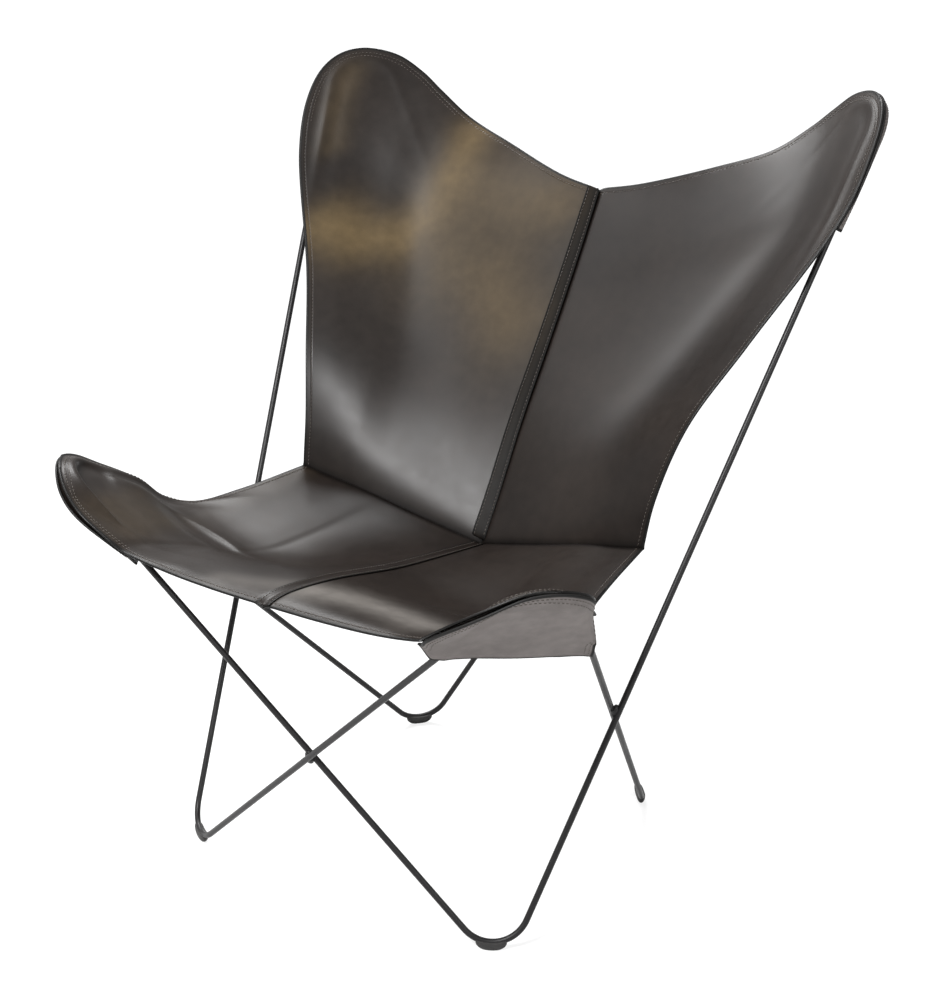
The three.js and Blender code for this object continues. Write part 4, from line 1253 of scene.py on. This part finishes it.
def leatherMaterial(name):
    # vegetable tanned saddle leather, drum dyed so that its colour is cloudy, then waxed by hand on the grain
    # side or buffed on the flesh side
    # over the dye it paints a warm reflection, a highlight on the seat's front edge and shade beside the
    # seams
    look = leathers[name]
    material, tree = newMaterial(name)
    place = node(tree, "ShaderNodeTexCoord").outputs["Object"]
    patterns = [
        node(tree, "ShaderNodeTexNoise", {"Vector": place, "Scale": perMetre(size), "Detail": detail})
        for size, detail in leatherWork["patterns"]
    ]
    cloud, mottle, swell = (pattern.outputs["Fac"] for pattern in patterns)
    paintedReflection, paintedHighlight, fromSeam, fromEdge = (
        node(tree, "ShaderNodeAttribute", attribute_name=key).outputs["Fac"]
        for key in ("paintedReflection", "paintedHighlight", "fromSeam", "fromEdge")
    )
    dye = node(tree, "ShaderNodeMapRange", {"Value": cloud, **stretch(leatherWork["dyeRange"], (0.0, 1.0))})
    dyed = node(
        tree, "ShaderNodeMix", {0: dye.outputs[0], 6: look["dark"], 7: look["mid"]}, data_type="RGBA",
    ).outputs[2]
    # the painted warm reflection is streaked by the clouds of the dye
    streak = node(tree, "ShaderNodeMapRange", {"Value": cloud, **stretch(noiseRange, leatherWork["streaks"])})
    paintedReflectionStrength = node(
        tree, "ShaderNodeMath", {0: paintedReflection, 1: streak.outputs[0]}, operation="MULTIPLY", use_clamp=True,
    )
    withPaintedReflection = node(tree, "ShaderNodeMix", {0: paintedReflectionStrength.outputs[0], 6: dyed, 7: look["paintedReflectionColour"]}, data_type="RGBA")
    # a painted highlight pales the seat's front edge
    withPaintedHighlight = node(
        tree, "ShaderNodeMix", {0: paintedHighlight, 6: withPaintedReflection.outputs[2], 7: leatherWork["paintedHighlight"]}, data_type="RGBA",
    )
    speck = node(tree, "ShaderNodeMapRange", {
        "Value": mottle, **stretch(noiseRange, leatherWork["mottling"]),
    })
    toned = node(
        tree, "ShaderNodeMix", {0: 1.0, 6: withPaintedHighlight.outputs[2], 7: speck.outputs[0]},
        data_type="RGBA", blend_type="MULTIPLY",
    )
    # painted shade darkens the colour beside the seams
    crease = node(
        tree, "ShaderNodeMapRange",
        {"Value": fromSeam, **stretch((0.0, leatherWork["creaseReach"]), (leatherWork["creaseShade"], 1.0))},
        interpolation_type="SMOOTHSTEP",
    )
    shaded = node(
        tree, "ShaderNodeMix", {0: 1.0, 6: toned.outputs[2], 7: crease.outputs[0]},
        data_type="RGBA", blend_type="MULTIPLY",
    )
    # black edge paint runs a little way over onto the face
    paint = node(tree, "ShaderNodeMapRange", {
        "Value": fromEdge, **stretch(leatherWork["paintEnds"], (1.0, 0.0)),
    })
    painted = node(
        tree, "ShaderNodeMix", {0: paint.outputs[0], 6: shaded.outputs[2], 7: leatherWork["edgePaint"]},
        data_type="RGBA",
    )
    roughness = [look["rough"] + more for more in leatherWork["roughening"]]
    rough = node(tree, "ShaderNodeMapRange", {"Value": mottle, **stretch(noiseRange, roughness)})
    # the thread pulls a shallow groove round the rim
    row = node(tree, "ShaderNodeMath", {0: fromEdge, 1: stitching["rimInset"]}, operation="SUBTRACT")
    aside = node(tree, "ShaderNodeMath", {0: row.outputs[0]}, operation="ABSOLUTE").outputs[0]
    groove = node(
        tree, "ShaderNodeMapRange", {"Value": aside, **stretch(leatherWork["grooveReach"], (-1.0, 0.0))},
        interpolation_type="SMOOTHSTEP",
    )
    height = node(tree, "ShaderNodeMath", {0: swell, 1: groove.outputs[0]}, operation="ADD").outputs[0]
    bump = node(tree, "ShaderNodeBump", {
        "Height": height, "Strength": leatherWork["reliefShare"], "Distance": leatherWork["relief"],
    })
    # waxed leather loses its gloss toward a grazing view
    facing = node(tree, "ShaderNodeLayerWeight", {"Blend": 0.5}).outputs["Facing"]
    gloss = look["gloss"], look["gloss"] * leatherWork["grazingGloss"]
    sheen = node(tree, "ShaderNodeMapRange", {"Value": facing, **stretch(leatherWork["grazing"], gloss)})
    shader = node(tree, "ShaderNodeBsdfPrincipled", {
        "Base Color": painted.outputs[2],
        "Roughness": rough.outputs[0],
        "Normal": bump.outputs[0],
        "Specular IOR Level": sheen.outputs[0],
        "IOR": 1.5,
    })
    node(tree, "ShaderNodeOutputMaterial", {"Surface": shader.outputs[0]})
    return material


steel = steelMaterial()
rubber = rubberMaterial()
thread = threadMaterial()
grainLeather, shadedBandLeather, fleshLeather = (leatherMaterial(name) for name in leathers)


def finishWith(piece, *materials):
    # clearing the materials resets which one each face takes, so that is kept and given back
    finishes = np.zeros(len(piece.data.polygons), np.int32)
    piece.data.polygons.foreach_get("material_index", finishes)
    piece.data.materials.clear()
    for material in materials:
        piece.data.materials.append(material)
    piece.data.polygons.foreach_set("material_index", finishes)


for piece in [loopOneRod, loopTwoRod] + beads:
    finishWith(piece, steel)
for piece in glidePieces:
    finishWith(piece, rubber)
for piece in panels.values():
    finishWith(piece, grainLeather, fleshLeather)
for band in (backBand, seatBand):
    finishWith(band["piece"], shadedBandLeather if band is backBand else grainLeather, fleshLeather)
for piece in pocketPieces.values():
    finishWith(piece, fleshLeather, grainLeather)
for piece in stitchPieces.values():
    finishWith(piece, thread)
print("materials given")


# floor, world and lamps

studio = {
    "floorSize": 60.0,
    "floorColour": "#f4f4f4",
    "floorGlow": 1.13,
    "whiteShare": 0.7,  # of what the camera sees of the floor beside the chair
    "shadowReach": (0.5, 2.2),  # metres from the chair, between which the floor's shadow fades out
    "worldStrength": 0.35,  # of the light on things; the world itself is seen plain white
    "lamps": [
        # place, aim, size, power in watts
        ((0.0, -1.65, 2.09), (-0.1, 0.1, 0.5), 0.6, 70.0),
        ((-1.61, 0.4, 1.98), (0.2, 0.3, 0.7), 0.7, 24.0),
        ((-1.29, 1.07, 1.88), (0.1, 0.1, 0.6), 0.5, 16.0),
        ((-0.98, 1.3, 2.48), (-0.1, 0, 0.4), 0.5, 38.0),
        ((-1.27, -0.47, 2.2), (0.15, 0.3, 0.7), 0.8, 10.0),
        ((-0.15, -0.98, 2.4), (-0.15, 0.12, 0.5), 0.8, 11.0),
        ((2.2, -0.6, 1.2), (0, 0, 0.5), 0.8, 15.0),
    ],
}


def addFloor():
    half = studio["floorSize"] / 2
    points = np.array([[-half, -half, 0], [half, -half, 0], [half, half, 0], [-half, half, 0]]) * 1.0
    floor = makeObject("floor", points, [[0, 1, 2, 3]], smooth=False)
    material, tree = newMaterial("paleFloor")
    cameraRay = node(tree, "ShaderNodeLightPath").outputs["Is Camera Ray"]
    matt = node(tree, "ShaderNodeBsdfDiffuse", {"Color": studio["floorColour"]}).outputs[0]
    glow = node(tree, "ShaderNodeEmission", {"Color": "#ffffff", "Strength": studio["floorGlow"]}).outputs[0]
    # beside the chair the camera sees some of the matt floor, with its shadow, and farther off only white
    place = node(tree, "ShaderNodeTexCoord").outputs["Object"]
    away = node(tree, "ShaderNodeVectorMath", {0: place}, operation="LENGTH").outputs["Value"]
    white = node(tree, "ShaderNodeMapRange", {
        "Value": away, **stretch(studio["shadowReach"], (studio["whiteShare"], 1.0)),
    })
    seen = node(tree, "ShaderNodeMath", {0: cameraRay, 1: white.outputs[0]}, operation="MULTIPLY").outputs[0]
    mix = node(tree, "ShaderNodeMixShader", {0: seen, 1: matt, 2: glow})
    node(tree, "ShaderNodeOutputMaterial", {"Surface": mix.outputs[0]})
    finishWith(floor, material)


def addWorld():
    world = bpy.data.worlds.new("studio")
    bpy.context.scene.world = world
    world.use_nodes = True
    tree = world.node_tree
    tree.nodes.clear()
    rays = node(tree, "ShaderNodeLightPath").outputs
    glossy, through = rays["Is Glossy Ray"], rays["Is Transmission Ray"]
    sharp = node(tree, "ShaderNodeMath", {0: glossy, 1: through}, operation="MAXIMUM").outputs[0]
    seen = node(tree, "ShaderNodeMath", {0: rays["Is Camera Ray"], 1: sharp}, operation="MAXIMUM")
    strength = node(tree, "ShaderNodeMapRange", {
        "Value": seen.outputs[0], **stretch((0.0, 1.0), (studio["worldStrength"], 1.0)),
    })
    back = node(tree, "ShaderNodeBackground", {"Color": "#ffffff", "Strength": strength.outputs[0]})
    node(tree, "ShaderNodeOutputWorld", {"Surface": back.outputs[0]})


def addLamp(number, place, aim, size, power):
    data = bpy.data.lights.new(f"softbox{number}", "AREA")
    data.shape = "SQUARE"
    data.size = size
    data.energy = power
    lamp = bpy.data.objects.new(f"softbox{number}", data)
    place, aim = np.array(place, float), np.array(aim, float)
    back = unit(place - aim)
    right = unit(np.cross([0, 0, 1.0], back))
    lamp.matrix_world = placedAt(right, np.cross(back, right), back, place)
    bpy.context.scene.collection.objects.link(lamp)


addFloor()
addWorld()
for number, lamp in enumerate(studio["lamps"]):
    addLamp(number, *lamp)
bpy.context.scene.view_settings.view_transform = "Standard"
print("studio lit")
